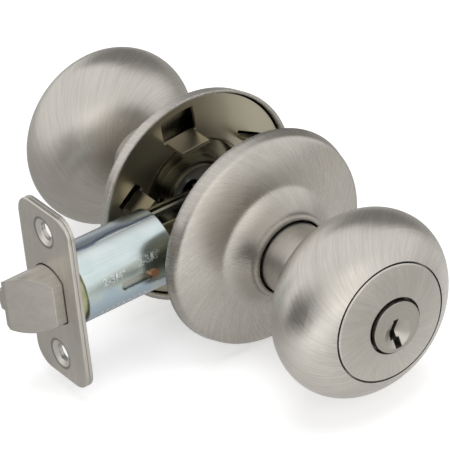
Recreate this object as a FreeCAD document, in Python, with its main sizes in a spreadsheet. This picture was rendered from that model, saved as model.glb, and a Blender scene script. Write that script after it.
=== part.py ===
import FreeCAD, Part
import math
import os

import Sketcher

# Keyed entry door knobset. +Z is up, +Y points to the room side, -X to the door's edge.
# The origin is where the knobs' axis (Y) crosses the latch's axis (X). Millimetres.

VECTOR = FreeCAD.Vector
DOC = FreeCAD.newDocument("EntryKnobset")
OUTSIDE = -1
INSIDE = 1

# Driving dimensions: alias, value, meaning.
DRIVING = [
    ("seat_outside", 17.5, "outside rose seat to latch axis, half a 35 mm door"),
    ("seat_clear", 0.7, "inside rose seat clear of the latch tube, closed up with no door"),
    ("rose_radius", 33.35, "rose seat radius"),
    ("rose_taper", 0.75, "rose band, loss of radius over its height"),
    ("rose_band_outside", 3.4, "outside rose band height"),
    ("rose_band_inside", 4.2, "inside rose band height"),
    ("rose_height", 15.0, "rose seat to the collar's lip"),
    ("rose_wall", 1.0, "rose sheet thickness"),
    ("rose_collar_radius", 12.9, "outer radius of the collar's lip"),
    ("rose_hole_radius", 11.5, "hole in the rose's collar"),
    ("neck_radius", 18.8, "radius where the rose's neck begins"),
    ("neck_height", 7.9, "height where the rose's neck begins"),
    ("rose_edge", 1.6, "rounding between the rose's band and its dome"),
    ("pry_slot_width", 4.0, "width of the pry slot in the inside rose"),
    ("shank_radius", 10.8, "visible shank radius"),
    ("journal_radius", 9.6, "shank radius in its bearing"),
    ("shank_bore", 8.4, "shank bore radius"),
    ("shoulder_height", 11.0, "rose seat to the shank's shoulder"),
    ("shank_flange", 3.2, "reach of the shank's flange inside the shell"),
    ("shank_flange_wall", 1.5, "thickness of the shank's flange"),
    ("ring_groove", 0.6, "depth of the retaining ring's groove"),
    ("knob_radius", 27.95, "largest knob radius"),
    ("knob_setback", 46.5, "rose seat to the knob's largest radius"),
    ("knob_back_depth", 18.8, "half axis of the knob's back"),
    ("knob_front_depth", 16.8, "half axis of the knob's front"),
    ("knob_wall", 1.0, "knob sheet thickness"),
    ("face_radius", 17.8, "face insert radius"),
    ("face_gap", 0.5, "groove round the face insert"),
    ("face_stand", 0.38, "face insert's rounded edge above the shell's lip"),
    ("face_wall", 1.2, "face insert thickness"),
    ("face_crown", 2.2, "rise of the face insert to its hole"),
    ("plug_hole_radius", 8.6, "hole in the outside face insert"),
    ("plug_radius", 6.35, "key plug radius"),
    ("plug_head_radius", 7.75, "key plug head radius"),
    ("plug_stand", 1.0, "plug face proud of the rim of its hole"),
    ("plug_head_height", 4.3, "key plug head thickness"),
    ("funnel_radius", 4.5, "radius of the hollow that guides the key in"),
    ("funnel_depth", 2.1, "depth of the hollow that guides the key in"),
    ("funnel_drop", 2.2, "plug axis to the hollow's centre"),
    ("pin_radius", 1.46, "tumbler pin radius"),
    ("pin_pitch", 3.97, "tumbler pin spacing"),
    ("pin_clearance", 0.04, "radial clearance of a pin in its chamber"),
    ("shear_gap", 0.12, "driver pins above the plug"),
    ("driver_length", 3.0, "driver pin length"),
    ("chamber_width", 7.8, "pin chamber block width"),
    ("chamber_height", 14.2, "plug axis to the pin chamber's top"),
    ("barrel_radius", 9.0, "cylinder housing barrel radius"),
    ("carrier_radius", 19.2, "flange under the knob shell's lip"),
    ("running_gap", 0.05, "radial clearance of a running fit"),
    ("fixed_gap", 0.02, "radial gap of a staked joint"),
    ("sliding_gap", 0.1, "radial clearance of a sliding fit"),
    ("seat_gap", 0.05, "gap between seated faces that move"),
    ("plate_recess", 1.9, "mounting plate below the rose seat"),
    ("plate_wall", 1.2, "mounting plate thickness"),
    ("plate_radius_outside", 29.6, "outside mounting plate radius"),
    ("plate_radius_inside", 31.5, "inside mounting plate radius"),
    ("bearing_radius", 11.0, "bearing sleeve outer radius"),
    ("bearing_end", 8.0, "rose seat to the bearing sleeve's end"),
    ("post_spacing", 28.6, "distance between the two mounting posts"),
    ("post_radius", 2.9, "mounting post radius"),
    ("post_end", 5.6, "latch axis to the posts' free ends"),
    ("screw_radius", 2.05, "mounting screw radius"),
    ("screw_head_radius", 2.9, "mounting screw head radius"),
    ("screw_head_height", 1.2, "mounting screw head height"),
    ("screw_short", 4.4, "mounting screws' ends short of the outside plate"),
    ("cup_radius", 16.9, "spring cup inner radius"),
    ("cup_wall", 0.8, "spring cup thickness"),
    ("cup_depth", 6.1, "rose seat to the back of the spring cup"),
    ("tab_width", 9.6, "width of a bent tab"),
    ("tab_length", 7.5, "reach of a bent tab towards the door"),
    ("tab_radius", 21.1, "knob axis to the upper tab"),
    ("spindle_radius", 5.0, "half-round spindle outer radius"),
    ("spindle_bore", 3.6, "half-round spindle inner radius"),
    ("spindle_start", 10.5, "outside rose seat to the spindle's outside end"),
    ("spindle_end", 44.0, "latch axis to the spindle's inside end"),
    ("bar_width", 5.2, "locking bar width"),
    ("bar_wall", 1.2, "locking bar thickness"),
    ("bar_overlap", 2.9, "locking bar's end short of the plug's back"),
    ("button_radius", 4.0, "turn button stem radius"),
    ("bush_radius", 6.4, "button bush radius in the inside knob's face"),
    ("button_width", 15.0, "turn button wing width"),
    ("button_rise", 8.5, "turn button wing height"),
    ("backset", 60.325, "knob axis to the faceplate's front"),
    ("backset_travel", 9.525, "added backset at the long setting"),
    ("faceplate_height", 57.15, "faceplate height"),
    ("faceplate_width", 25.4, "faceplate width"),
    ("faceplate_corner", 6.35, "faceplate corner radius"),
    ("faceplate_wall", 1.2, "faceplate thickness"),
    ("backplate_wall", 1.1, "backplate thickness"),
    ("plate_seam", 0.05, "seam between faceplate and backplate"),
    ("plate_front_edge", 0.4, "rounding of the faceplate's front edge"),
    ("plate_seam_edge", 0.15, "rounding of the plates' edges at their seam"),
    ("screw_spacing", 41.275, "faceplate screw hole spacing"),
    ("screw_hole_radius", 2.75, "faceplate screw hole radius"),
    ("sink_radius", 4.4, "faceplate countersink radius"),
    ("sink_depth", 0.8, "faceplate countersink depth"),
    ("bolt_radius", 9.1, "bolt radius, top and bottom"),
    ("bolt_outer_flat", 6.5, "latch axis to the bolt's outside flat"),
    ("bolt_inner_flat", 5.5, "latch axis to the bolt's inside flat"),
    ("bolt_gap", 0.3, "clearance round the bolt"),
    ("bolt_throw", 12.7, "bolt projection"),
    ("bolt_land", 1.6, "flat left at the bolt's tip"),
    ("bolt_straight", 3.4, "straight side before the bevel"),
    ("bolt_back", 45.0, "knob axis to the bolt's back face"),
    ("lug_wall", 1.5, "plunger spring lug thickness"),
    ("plunger_width", 6.8, "deadlatch plunger width"),
    ("plunger_shy", 0.7, "plunger tip short of the bolt's tip"),
    ("plunger_back", 57.0, "knob axis to the plunger's back"),
    ("tube_radius", 11.4, "latch tube radius"),
    ("tube_wall", 0.8, "latch tube wall"),
    ("tube_front", 55.2, "knob axis to the tube's front end"),
    ("tube_back", 25.0, "knob axis to the tube's back end"),
    ("sleeve_wall", 0.8, "inner sleeve wall"),
    ("sleeve_back", 31.0, "knob axis to the sleeve's back end"),
    ("rivet_place", 33.0, "knob axis to the backset rivet"),
    ("rivet_radius", 1.35, "backset rivet radius"),
    ("rivet_proud", 0.35, "rivet head above the tube"),
    ("case_gap", 4.2, "latch axis to a case plate"),
    ("case_wall", 1.0, "case plate thickness"),
    ("case_height", 9.0, "latch axis to a case plate's top"),
    ("case_front", 30.0, "knob axis to the case's front end"),
    ("case_back", 19.0, "knob axis to the case's back end"),
    ("seat_place", 27.0, "knob axis to the spring seat's front"),
    ("seat_wall", 1.0, "spring seat and web thickness"),
    ("hub_radius", 6.9, "retractor hub radius"),
    ("trunnion_radius", 6.2, "retractor trunnion radius"),
    ("arm_radius", 9.9, "knob axis to the retractor arm's tip centre"),
    ("arm_tip_radius", 1.1, "retractor arm tip radius"),
    ("arm_lean", 40.0, "retractor arm lean from upright, degrees"),
    ("arm_half_width", 1.2, "half the retractor arm's thickness"),
    ("rail_low", 7.6, "latch axis to the drawbar rail's inner edge"),
    ("rail_high", 9.0, "latch axis to the drawbar rail's outer edge"),
    ("rail_near", 1.5, "drawbar rail, nearer side"),
    ("rail_wall", 1.2, "drawbar thickness"),
    ("rail_end", 4.0, "knob axis to the rail's end"),
    ("hook_height", 11.0, "latch axis to the hook's top"),
    ("hook_width", 1.8, "hook thickness along the latch"),
    ("hook_gap", 0.35, "gap between arm tip and hook"),
    ("hook_dip", 0.8, "hook face below the rail's outer edge"),
    ("spring_radius", 3.4, "bolt spring mean radius"),
    ("spring_wire", 0.35, "bolt spring wire radius"),
    ("tail_radius", 4.1, "plug tail cup outer radius"),
    ("tail_bore", 3.1, "plug tail cup bore radius"),
    ("tail_end", 10.9, "outside rose seat to the plug tail's end"),
    ("tongue_length", 10.6, "reach of the drawbar's tongue into the bolt"),
    ("tongue_width", 6.0, "height of the drawbar's tongue"),
    ("tongue_wall", 2.0, "thickness of the drawbar's tongue"),
    ("seam_width", 0.15, "seam of the rolled latch tube"),
    ("seam_turn", 10.0, "seam's place round the tube from its top, degrees"),
]


def fill_sheet():
    """Write the driving dimensions into the sheet, one row each."""
    sheet = DOC.addObject("Spreadsheet::Sheet", "Dims")
    for row, (alias, value, meaning) in enumerate(DRIVING, start=1):
        sheet.set(f"A{row}", meaning)
        sheet.set(f"B{row}", str(value))
        sheet.setAlias(f"B{row}", alias)
    DOC.recompute()
    return sheet


SHEET = fill_sheet()


class Size:
    """A length with its value and its formula over the sheet's aliases."""

    def __init__(self, value, text):
        self.value = value
        self.text = text

    @staticmethod
    def of(other):
        if isinstance(other, Size):
            return other
        return Size(float(other), f"({other})")

    def __add__(self, other):
        other = Size.of(other)
        return Size(self.value + other.value, f"({self.text} + {other.text})")

    def __sub__(self, other):
        other = Size.of(other)
        return Size(self.value - other.value, f"({self.text} - {other.text})")

    def __mul__(self, other):
        other = Size.of(other)
        return Size(self.value * other.value, f"({self.text} * {other.text})")

    def __truediv__(self, other):
        other = Size.of(other)
        return Size(self.value / other.value, f"({self.text} / {other.text})")

    def __neg__(self):
        return Size(-self.value, f"(0 - {self.text})")

    __radd__ = __add__
    __rmul__ = __mul__

    def __rsub__(self, other):
        return Size.of(other) - self


def size(alias):
    """The driving dimension of that name."""
    return Size(float(SHEET.get(alias)), f"Dims.{alias}")


def root(number):
    return Size(math.sqrt(number.value), f"sqrt({number.text})")


def sine(degrees):
    return Size(math.sin(math.radians(degrees.value)), f"sin({degrees.text} * 1deg)")


def cosine(degrees):
    return Size(math.cos(math.radians(degrees.value)), f"cos({degrees.text} * 1deg)")


def bind(thing, field, length):
    """Tie one field of an object to its formula."""
    thing.setExpression(field, Size.of(length).text)


def place(thing, x=0, y=0, z=0):
    """Tie an object's position to three formulas."""
    for axis, length in zip("xyz", (x, y, z)):
        bind(thing, f"Placement.Base.{axis}", length)


# ---------------------------------------------------------------- sketches and bodies

def new_body(label):
    body = DOC.addObject("PartDesign::Body", label)
    body.Label = label
    return body


def new_sketch(body, plane, name, offset=0):
    """A sketch on one of the body's own origin planes, moved along the plane's normal."""
    sketch = body.newObject("Sketcher::SketchObject", f"{body.Name}_{name}")
    origin_plane = [o for o in body.Origin.OriginFeatures if o.Role == plane][0]
    sketch.AttachmentSupport = [(origin_plane, "")]
    sketch.MapMode = "FlatFace"
    bind(sketch, "AttachmentOffset.Base.z", offset)
    return sketch


def fix_point(sketch, shape, end, point):
    """Hold one point of a sketch at two formulas."""
    for kind, length in zip(("DistanceX", "DistanceY"), point):
        length = Size.of(length)
        index = sketch.addConstraint(Sketcher.Constraint(kind, -1, 1, shape, end, length.value))
        sketch.setExpression(f"Constraints[{index}]", length.text)


def numbers(point):
    return VECTOR(Size.of(point[0]).value, Size.of(point[1]).value, 0)


def turns_left(first, middle, last):
    return (middle - first).cross(last - middle).z > 0


def meets(first, second):
    return numbers(first).distanceToPoint(numbers(second)) < 1e-6


def step_end(step):
    """An outline step is a line's end, or a pair: an arc's middle and end."""
    return step[1] if isinstance(step[0], tuple) else step


def draw_step(sketch, here, step):
    """Draw one step; give back its shape and which ends are its beginning and finish."""
    there = step_end(step)
    if there is step:
        line = Part.LineSegment(numbers(here), numbers(there))
        return sketch.addGeometry(line), 1, 2
    first, middle, last = numbers(here), numbers(step[0]), numbers(there)
    leftward = turns_left(first, middle, last)
    arc = Part.Arc(first, middle, last) if leftward else Part.Arc(last, middle, first)
    shape = sketch.addGeometry(arc)
    guide = sketch.addGeometry(Part.Point(middle), True)
    sketch.addConstraint(Sketcher.Constraint("PointOnObject", guide, 1, shape))
    fix_point(sketch, guide, 1, step[0])
    return (shape, 1, 2) if leftward else (shape, 2, 1)


def draw_outline(sketch, start, steps):
    """Draw a closed outline; a straight line closes it if the last step doesn't."""
    steps = list(steps)
    if not meets(step_end(steps[-1]), start):
        steps.append(start)
    drawn = []
    here = start
    for step in steps:
        drawn.append((*draw_step(sketch, here, step), here))
        here = step_end(step)
    for index, (shape, begin, finish, point) in enumerate(drawn):
        after = drawn[(index + 1) % len(drawn)]
        sketch.addConstraint(Sketcher.Constraint("Coincident", shape, finish, after[0], after[1]))
        fix_point(sketch, shape, begin, point)


def draw_circle(sketch, centre, radius):
    radius = Size.of(radius)
    circle = Part.Circle(numbers(centre), VECTOR(0, 0, 1), radius.value)
    shape = sketch.addGeometry(circle)
    fix_point(sketch, shape, 3, centre)
    index = sketch.addConstraint(Sketcher.Constraint("Radius", shape, radius.value))
    sketch.setExpression(f"Constraints[{index}]", radius.text)


def revolve(label, axis, start, steps):
    """A body turned about the knobs' axis ("V_Axis", Y) or the latch's axis ("H_Axis", X)."""
    body = new_body(label)
    sketch = new_sketch(body, "XY_Plane", "profile")
    draw_outline(sketch, start, steps)
    turned = body.newObject("PartDesign::Revolution", f"{label}_turned")
    turned.Profile = sketch
    turned.ReferenceAxis = (sketch, [axis])
    turned.Angle = 360
    return body


def coil(label, plane, axis, centre, wire, pitch, height):
    """A coil spring about one of the sketch's axes: centre is the wire's first place."""
    body = new_body(label)
    sketch = new_sketch(body, plane, "wire")
    draw_circle(sketch, centre, wire)
    helix = body.newObject("PartDesign::AdditiveHelix", f"{label}_turns")
    helix.Profile = sketch
    helix.ReferenceAxis = (sketch, [axis])
    helix.Mode = 0
    bind(helix, "Pitch", pitch)
    bind(helix, "Height", height)
    return body


# ---------------------------------------------------------------- primitives and booleans

ALONG = {
    "x": FreeCAD.Rotation(VECTOR(0, 1, 0), 90),
    "y": FreeCAD.Rotation(VECTOR(1, 0, 0), -90),
    "z": FreeCAD.Rotation(),
}


def rod(name, axis, radius, length, x=0, y=0, z=0):
    """A cylinder that starts at a point and runs along one axis."""
    cylinder = DOC.addObject("Part::Cylinder", name)
    cylinder.Placement = FreeCAD.Placement(VECTOR(), ALONG[axis])
    bind(cylinder, "Radius", radius)
    bind(cylinder, "Height", length)
    place(cylinder, x, y, z)
    return cylinder


def block(name, x_span, y_span, z_span):
    """A box between two formulas on each axis."""
    box = DOC.addObject("Part::Box", name)
    box.Label = name
    spans = (x_span, y_span, z_span)
    for field, (low, high) in zip(("Length", "Width", "Height"), spans):
        bind(box, field, Size.of(high) - low)
    place(box, *(low for low, _ in spans))
    return box


def fuse(label, shapes):
    joined = DOC.addObject("Part::MultiFuse", label)
    joined.Label = label
    joined.Shapes = shapes
    return joined


def cut(label, base, tools):
    """The base with every tool taken away."""
    tool = tools[0] if len(tools) == 1 else fuse(f"{label}_tools", tools)
    result = DOC.addObject("Part::Cut", label)
    result.Label = label
    result.Base = base
    result.Tool = tool
    return result


def common(label, shapes):
    overlap = DOC.addObject("Part::MultiCommon", label)
    overlap.Label = label
    overlap.Shapes = shapes
    return overlap


def group(label, shapes):
    """Separate solids that share one node."""
    together = DOC.addObject("Part::Compound", label)
    together.Label = label
    together.Links = shapes
    return together


def turned_about_knob_axis(thing, degrees):
    """Turn an object about the knobs' axis."""
    carrier = DOC.addObject("Part::Compound", f"{thing.Name}_turned")
    carrier.Links = [thing]
    carrier.Placement = FreeCAD.Placement(VECTOR(), FreeCAD.Rotation(VECTOR(0, 1, 0), degrees))
    return carrier


# ---------------------------------------------------------------- places along the knobs' axis

def seat(side):
    """The rose's seat on the knobs' axis."""
    if side == OUTSIDE:
        return -size("seat_outside")
    return size("tube_radius") + size("seat_clear")


def from_seat(side, height):
    """A place at a height above the rose's seat, away from the door."""
    return seat(side) + Size.of(height) * side


def from_knob(side, forward):
    """A place in front of the knob's largest radius, away from the door."""
    return from_seat(side, size("knob_setback") + forward)


def ring(side, outline):
    """Turn points of radius and height above the rose's seat into sketch points."""
    points = []
    for item in outline:
        if isinstance(item[0], tuple):
            points.append(tuple((r, from_seat(side, h)) for r, h in item))
        else:
            points.append((item[0], from_seat(side, item[1])))
    return points


def turned_part(label, side, outline):
    points = ring(side, outline)
    return revolve(label, "V_Axis", points[0], points[1:])


# ---------------------------------------------------------------- knobs

def ellipse_height(radius, half_width, half_depth):
    """How far an ellipse stands out at a radius."""
    share = radius / half_width
    return half_depth * root(1 - share * share)


def ellipse_point(degrees, half_width, half_depth):
    angle = math.radians(degrees)
    return (half_width * round(math.cos(angle), 5), half_depth * round(math.sin(angle), 5))


def shell_side(width, back_depth, front_depth, back_radius, front_radius):
    """Points of one skin of the knob shell, from its back hole to its front opening."""
    setback = size("knob_setback")

    def back(degrees):
        radius, depth = ellipse_point(degrees, width, back_depth)
        return (radius, setback - depth)

    def front(degrees):
        radius, depth = ellipse_point(degrees, width, front_depth)
        return (radius, setback + depth)

    start = (back_radius, setback - ellipse_height(back_radius, width, back_depth))
    end = (front_radius, setback + ellipse_height(front_radius, width, front_depth))
    return [start, (back(54), back(42)), (back(31), back(20)), (back(10), back(0)),
            (front(12), front(24)), (front(36), end)]


def reverse_outline(outline):
    """The same outline walked the other way."""
    flat = [outline[0]]
    middles = []
    for middle, end in outline[1:]:
        middles.append(middle)
        flat.append(end)
    steps = [flat[-1]]
    for middle, end in zip(reversed(middles), reversed(flat[:-1])):
        steps.append((middle, end))
    return steps


def knob_shell(label, side):
    wall = size("knob_wall")
    opening = size("face_radius") + size("face_gap")
    hole = size("shank_radius") + size("fixed_gap")
    outer = shell_side(size("knob_radius"), size("knob_back_depth"), size("knob_front_depth"),
                       hole, opening)
    inner = shell_side(size("knob_radius") - wall, size("knob_back_depth") - wall,
                       size("knob_front_depth") - wall, hole, opening)
    return turned_part(label, side, outer + reverse_outline(inner))


def shank_flange_back():
    """Height of the shank flange's back, just inside the knob shell."""
    wall = size("knob_wall")
    flange = size("shank_radius") + size("shank_flange")
    inner = ellipse_height(flange, size("knob_radius") - wall, size("knob_back_depth") - wall)
    return size("knob_setback") - inner + 0.25


def knob_shank(label, side):
    """The tube that carries the knob: a journal, a shoulder and a flange inside the shell."""
    groove = size("plate_recess") - size("seat_gap")
    back = shank_flange_back()
    outline = [
        (size("shank_bore"), 0.3),
        (size("journal_radius"), 0.3),
        (size("journal_radius"), groove - 1.0),
        (size("journal_radius") - size("ring_groove"), groove - 1.0),
        (size("journal_radius") - size("ring_groove"), groove),
        (size("journal_radius"), groove),
        (size("journal_radius"), size("shoulder_height")),
        (size("shank_radius"), size("shoulder_height")),
        (size("shank_radius"), back),
        (size("shank_radius") + size("shank_flange"), back),
        (size("shank_radius") + size("shank_flange"), back + size("shank_flange_wall")),
        (size("shank_bore"), back + size("shank_flange_wall")),
    ]
    return turned_part(label, side, outline)


def face_edge():
    """Height of the face insert's edge, level with the shell's lip."""
    opening = size("face_radius") + size("face_gap")
    return size("knob_setback") + ellipse_height(opening, size("knob_radius"), size("knob_front_depth"))


def knob_face(label, side, hole):
    """The domed insert that closes the knob's front."""
    edge = face_edge()
    wall = size("face_wall")
    crown = size("face_crown")
    middle_radius = (size("face_radius") + hole) / 2
    outline = [
        (size("face_radius"), edge - wall),
        (size("face_radius"), edge + size("face_stand") - 0.3),
        (size("face_radius") - 0.3, edge + size("face_stand")),
        ((middle_radius, edge + crown * 0.66), (hole, edge + crown)),
        (hole, edge + crown - wall),
        ((middle_radius, edge + crown * 0.66 - wall), (size("face_radius"), edge - wall)),
    ]
    return turned_part(label, side, outline)


# ---------------------------------------------------------------- roses

def rose_rim():
    """Radius at the top of the rose's band."""
    return size("rose_radius") - size("rose_taper")


def rose_upper(band, wall):
    """The dome and hollow neck of one skin of the rose, from its band to its collar."""
    neck_r = size("neck_radius")
    neck_h = size("neck_height")
    collar = size("rose_collar_radius")
    top = size("rose_height")
    dome_r = (rose_rim() + neck_r) / 2
    dome_h = (band + neck_h) / 2 + 0.55
    hollow_r = collar + (neck_r - collar) * 0.43
    hollow_h = neck_h + (top - neck_h) * 0.37
    slant = wall * 0.72
    return [
        ((dome_r - wall * 0.2, dome_h - wall * 0.98), (neck_r - wall * 0.3, neck_h - wall * 0.95)),
        ((hollow_r - slant, hollow_h - slant), (collar - wall, top - 1.6)),
    ]


def rose(label, side, band):
    """The pressed cover that lies on the door, open at its seat."""
    wall = size("rose_wall")
    top = size("rose_height")
    collar = size("rose_collar_radius")
    hole = size("rose_hole_radius")
    rim = rose_rim()
    edge = size("rose_edge")
    edge_low = band - edge * 0.56
    outside = [
        (size("rose_radius") - wall, 0),
        (size("rose_radius"), 0),
        (rim, edge_low),
        ((rim - edge * 0.176, edge_low + edge * 0.566), (rim - edge * 0.642, edge_low + edge * 0.934)),
        *rose_upper(band, Size.of(0)),
        ((collar - 0.25, top - 0.35), (collar - 0.85, top)),
        (hole, top),
        (hole, top - 1.6),
    ]
    skin = [(rim - wall, band - wall * 0.5), *rose_upper(band, wall)]
    return turned_part(label, side, outside + reverse_outline(skin))


def rose_inside():
    """The inside rose has a slot behind its band, for the blade that prises it off."""
    cover = rose("rose_inside_cover", INSIDE, size("rose_band_inside"))
    half = size("pry_slot_width") / 2
    low = from_seat(INSIDE, size("rose_band_inside") - 0.3)
    high = from_seat(INSIDE, size("rose_band_inside") + 1.2)
    slot = block("pry_slot", (-half, half), (low, high),
                 (size("rose_radius") - 4.0, size("rose_radius") + 2.0))
    turned = turned_about_knob_axis(slot, -21)
    return cut("rose_inside", cover, [turned])


# ---------------------------------------------------------------- mounting plates and bearings

def plate_disc(name, side, hole, radius):
    """The round mounting plate inside a rose."""
    recess = size("plate_recess")
    wall = size("plate_wall")
    outline = [
        (hole, recess),
        (radius, recess),
        (radius, recess + wall),
        (hole, recess + wall),
    ]
    return turned_part(name, side, outline)


# Bent tabs of the inside plate: turn about the axis, place along the root, share of the
# full width, root below the upper tab's, window depth.
TABS = [
    (-4, -1.8, 1.0, 0.0, 7.9),
    (-38, -12.5, 0.7, -1.8, 3.0),
    (28, 12.5, 0.7, -1.8, 1.2),
]


def mounting_plate_inside():
    """The plate under the inside rose: tabs are pierced from it and bent towards the door."""
    hole = size("cup_radius") + size("cup_wall") + 0.1
    disc = plate_disc("inside_disc", INSIDE, hole, size("plate_radius_inside"))
    door_face = from_seat(INSIDE, size("plate_recess"))
    room_face = from_seat(INSIDE, size("plate_recess") + size("plate_wall"))
    windows = []
    tabs = []
    for number, (angle, offset, share, inset, depth) in enumerate(TABS, start=1):
        low = size("tab_radius") + inset
        left = offset - size("tab_width") * share / 2
        right = offset + size("tab_width") * share / 2
        window = block(f"window_{number}", (left - 1, right + 1), (door_face - 1, room_face + 1),
                       (low, low + depth))
        tab = block(f"tab_{number}", (left, right), (door_face - size("tab_length"), room_face),
                    (low - size("plate_wall"), low))
        windows.append(turned_about_knob_axis(window, angle))
        tabs.append(turned_about_knob_axis(tab, angle))
    pierced = cut("pierced_disc", disc, windows)
    return fuse("mounting_plate_inside", [pierced] + tabs)


def bearing_outside():
    """The flanged sleeve that the outside shank turns in."""
    bore = size("journal_radius") + size("running_gap")
    back = size("plate_recess") + size("plate_wall")
    outline = [
        (bore, size("plate_recess")),
        (size("bearing_radius"), size("plate_recess")),
        (size("bearing_radius"), back),
        (size("bearing_radius") + 5.5, back),
        (size("bearing_radius") + 5.5, back + 1.0),
        (size("bearing_radius"), back + 1.0),
        (size("bearing_radius"), size("bearing_end")),
        (bore, size("bearing_end")),
    ]
    return turned_part("bearing_outside", OUTSIDE, outline)


def spring_cup_inside():
    """The pressed cup and sleeve that the inside shank turns in; the screws bear on its floor."""
    bore = size("journal_radius") + size("running_gap")
    cup = size("cup_radius")
    wall = size("cup_wall")
    back = size("plate_recess") + size("plate_wall")
    floor = size("cup_depth") - wall
    outline = [
        (bore, size("plate_recess")),
        (size("bearing_radius"), size("plate_recess")),
        (size("bearing_radius"), floor - 1.6),
        (size("bearing_radius") + 1.0, floor - 1.6),
        (size("bearing_radius") + 1.0, floor),
        (cup, floor),
        (cup, size("plate_recess")),
        (cup + wall, size("plate_recess")),
        (cup + wall, back),
        (cup + wall + 1.9, back),
        (cup + wall + 1.9, back + wall),
        (cup + wall, back + wall),
        (cup + wall, size("cup_depth")),
        (size("bearing_radius"), size("cup_depth")),
        (size("bearing_radius"), size("bearing_end")),
        (bore, size("bearing_end")),
    ]
    cup_body = turned_part("cup_turned", INSIDE, outline)
    holes = []
    for way in (-1, 1):
        holes.append(rod(f"cup_hole_{way + 2}", "y", size("screw_radius") + 0.1, wall + 2,
                         x=size("post_spacing") / 2 * way, y=from_seat(INSIDE, floor - 1)))
    return cut("spring_cup_inside", cup_body, holes)


def retaining_ring(label, side):
    """The snap ring in the shank's groove."""
    high = size("plate_recess") - size("seat_gap")
    inner = size("journal_radius") - size("ring_groove") + size("fixed_gap")
    outline = [(inner, high - 0.95), (inner + 1.9, high - 0.95), (inner + 1.9, high), (inner, high)]
    return turned_part(label, side, outline)


def return_spring(label, side):
    """The flat wound spring round the journal, between bearing and shoulder."""
    wire = Size.of(0.4)
    low = from_seat(side, size("bearing_end") + 0.45)
    high = from_seat(side, size("shoulder_height") - 0.45)
    start = low if side == INSIDE else high
    travel = size("shoulder_height") - size("bearing_end") - 0.9
    centre = (size("journal_radius") + 0.7, start)
    return coil(label, "XY_Plane", "V_Axis", centre, wire, travel / 2, travel)


# ---------------------------------------------------------------- spindle, bar and posts

def half_round_tool(name, low, high, clearance):
    """The hole that a half-round spindle and the locking bar need in a piece that turns with it."""
    slot_r = size("spindle_radius") + clearance
    round_part = rod(f"{name}_round", "y", slot_r, high - low, y=low)
    limits = size("spindle_radius") + 1.0
    half_box = block(f"{name}_half", (-limits, limits), (low - 1, high + 1), (-limits, Size.of(clearance)))
    lower = common(f"{name}_lower", [round_part, half_box])
    centre = rod(f"{name}_centre", "y", size("spindle_bore"), high - low, y=low)
    return fuse(f"{name}_hole", [lower, centre])


def spindle():
    """The half-round spindle: half a tube, lying below the axis."""
    low = from_seat(OUTSIDE, size("spindle_start"))
    high = size("spindle_end")
    outer = rod("spindle_outer", "y", size("spindle_radius"), high - low, y=low)
    bore = rod("spindle_inner", "y", size("spindle_bore"), high - low + 2, y=low - 1)
    tube = cut("spindle_tube", outer, [bore])
    limits = size("spindle_radius") + 1.0
    below = block("spindle_below", (-limits, limits), (low - 1, high + 1), (-limits, Size.of(0)))
    return common("spindle", [tube, below])


def spindle_carrier():
    """The disc in the outside shank that holds the spindle."""
    low = from_seat(OUTSIDE, size("spindle_start"))
    high = low + 5.0
    disc = rod("carrier_disc", "y", size("shank_bore") - size("fixed_gap"), high - low, y=low)
    hole = half_round_tool("carrier", low - 1, high + 1, size("fixed_gap"))
    return cut("spindle_carrier", disc, [hole])


def spindle_driver():
    """The disc in the inside shank that slides along the spindle and turns with it."""
    low = from_seat(INSIDE, 4.0)
    high = low + 4.0
    disc = rod("driver_disc", "y", size("shank_bore") - size("fixed_gap"), high - low, y=low)
    hole = half_round_tool("driver", low - 1, high + 1, size("sliding_gap"))
    return cut("spindle_driver", disc, [hole])


def locking_bar():
    """The flat bar that the turn button turns inside the spindle."""
    half_width = size("bar_width") / 2
    half_wall = size("bar_wall") / 2
    end = from_knob(INSIDE, button_stem_back())
    start = from_knob(OUTSIDE, plug_back()) + size("bar_overlap")
    return block("locking_bar", (-half_wall, half_wall), (start, end), (-half_width, half_width))


def mounting_posts():
    """Two tapped posts on the outside plate: they pass through the latch case."""
    low = from_seat(OUTSIDE, size("plate_recess"))
    high = size("post_end")
    posts = []
    for number, way in enumerate((-1, 1), start=1):
        x = size("post_spacing") / 2 * way
        post = rod(f"post_{number}_body", "y", size("post_radius"), high - low, x=x, y=low)
        bore = rod(f"post_{number}_bore", "y", size("screw_radius") + size("running_gap"),
                   high - low, x=x, y=low + 1.5)
        posts.append(cut(f"post_{number}", post, [bore]))
    return group("mounting_posts", posts)


def mounting_screws():
    """Two machine screws from the inside cup into the posts."""
    head = from_seat(INSIDE, size("cup_depth"))
    low = from_seat(OUTSIDE, size("plate_recess")) + size("screw_short")
    screws = []
    for number, way in enumerate((-1, 1), start=1):
        x = size("post_spacing") / 2 * way
        stem = rod(f"screw_{number}_stem", "y", size("screw_radius"), head - low, x=x, y=low)
        cap = rod(f"screw_{number}_cap", "y", size("screw_head_radius"), size("screw_head_height"),
                  x=x, y=head)
        solid = fuse(f"screw_{number}_solid", [stem, cap])
        slot = block(f"screw_{number}_slot", (x - 3.0, x + 3.0), (head + 0.6, head + 2.0), (-0.4, 0.4))
        screws.append(cut(f"screw_{number}", solid, [slot]))
    return group("mounting_screws", screws)


# ---------------------------------------------------------------- key cylinder

def flange_front():
    """Height of the carrier flange's front, just under the knob shell's lip."""
    wall = size("knob_wall")
    radius = size("carrier_radius")
    inner = ellipse_height(radius, size("knob_radius") - wall, size("knob_front_depth") - wall)
    return inner - 0.1


def boss_front():
    """Height of the carrier boss's front, against the face insert's back edge."""
    return face_edge() - size("knob_setback") - size("face_wall")


def plug_face():
    return face_edge() - size("knob_setback") + size("face_crown") + size("plug_stand")


def barrel_back():
    return shank_flange_back() + size("shank_flange_wall") - size("knob_setback")


def plug_back():
    return barrel_back() - 2.6


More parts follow.
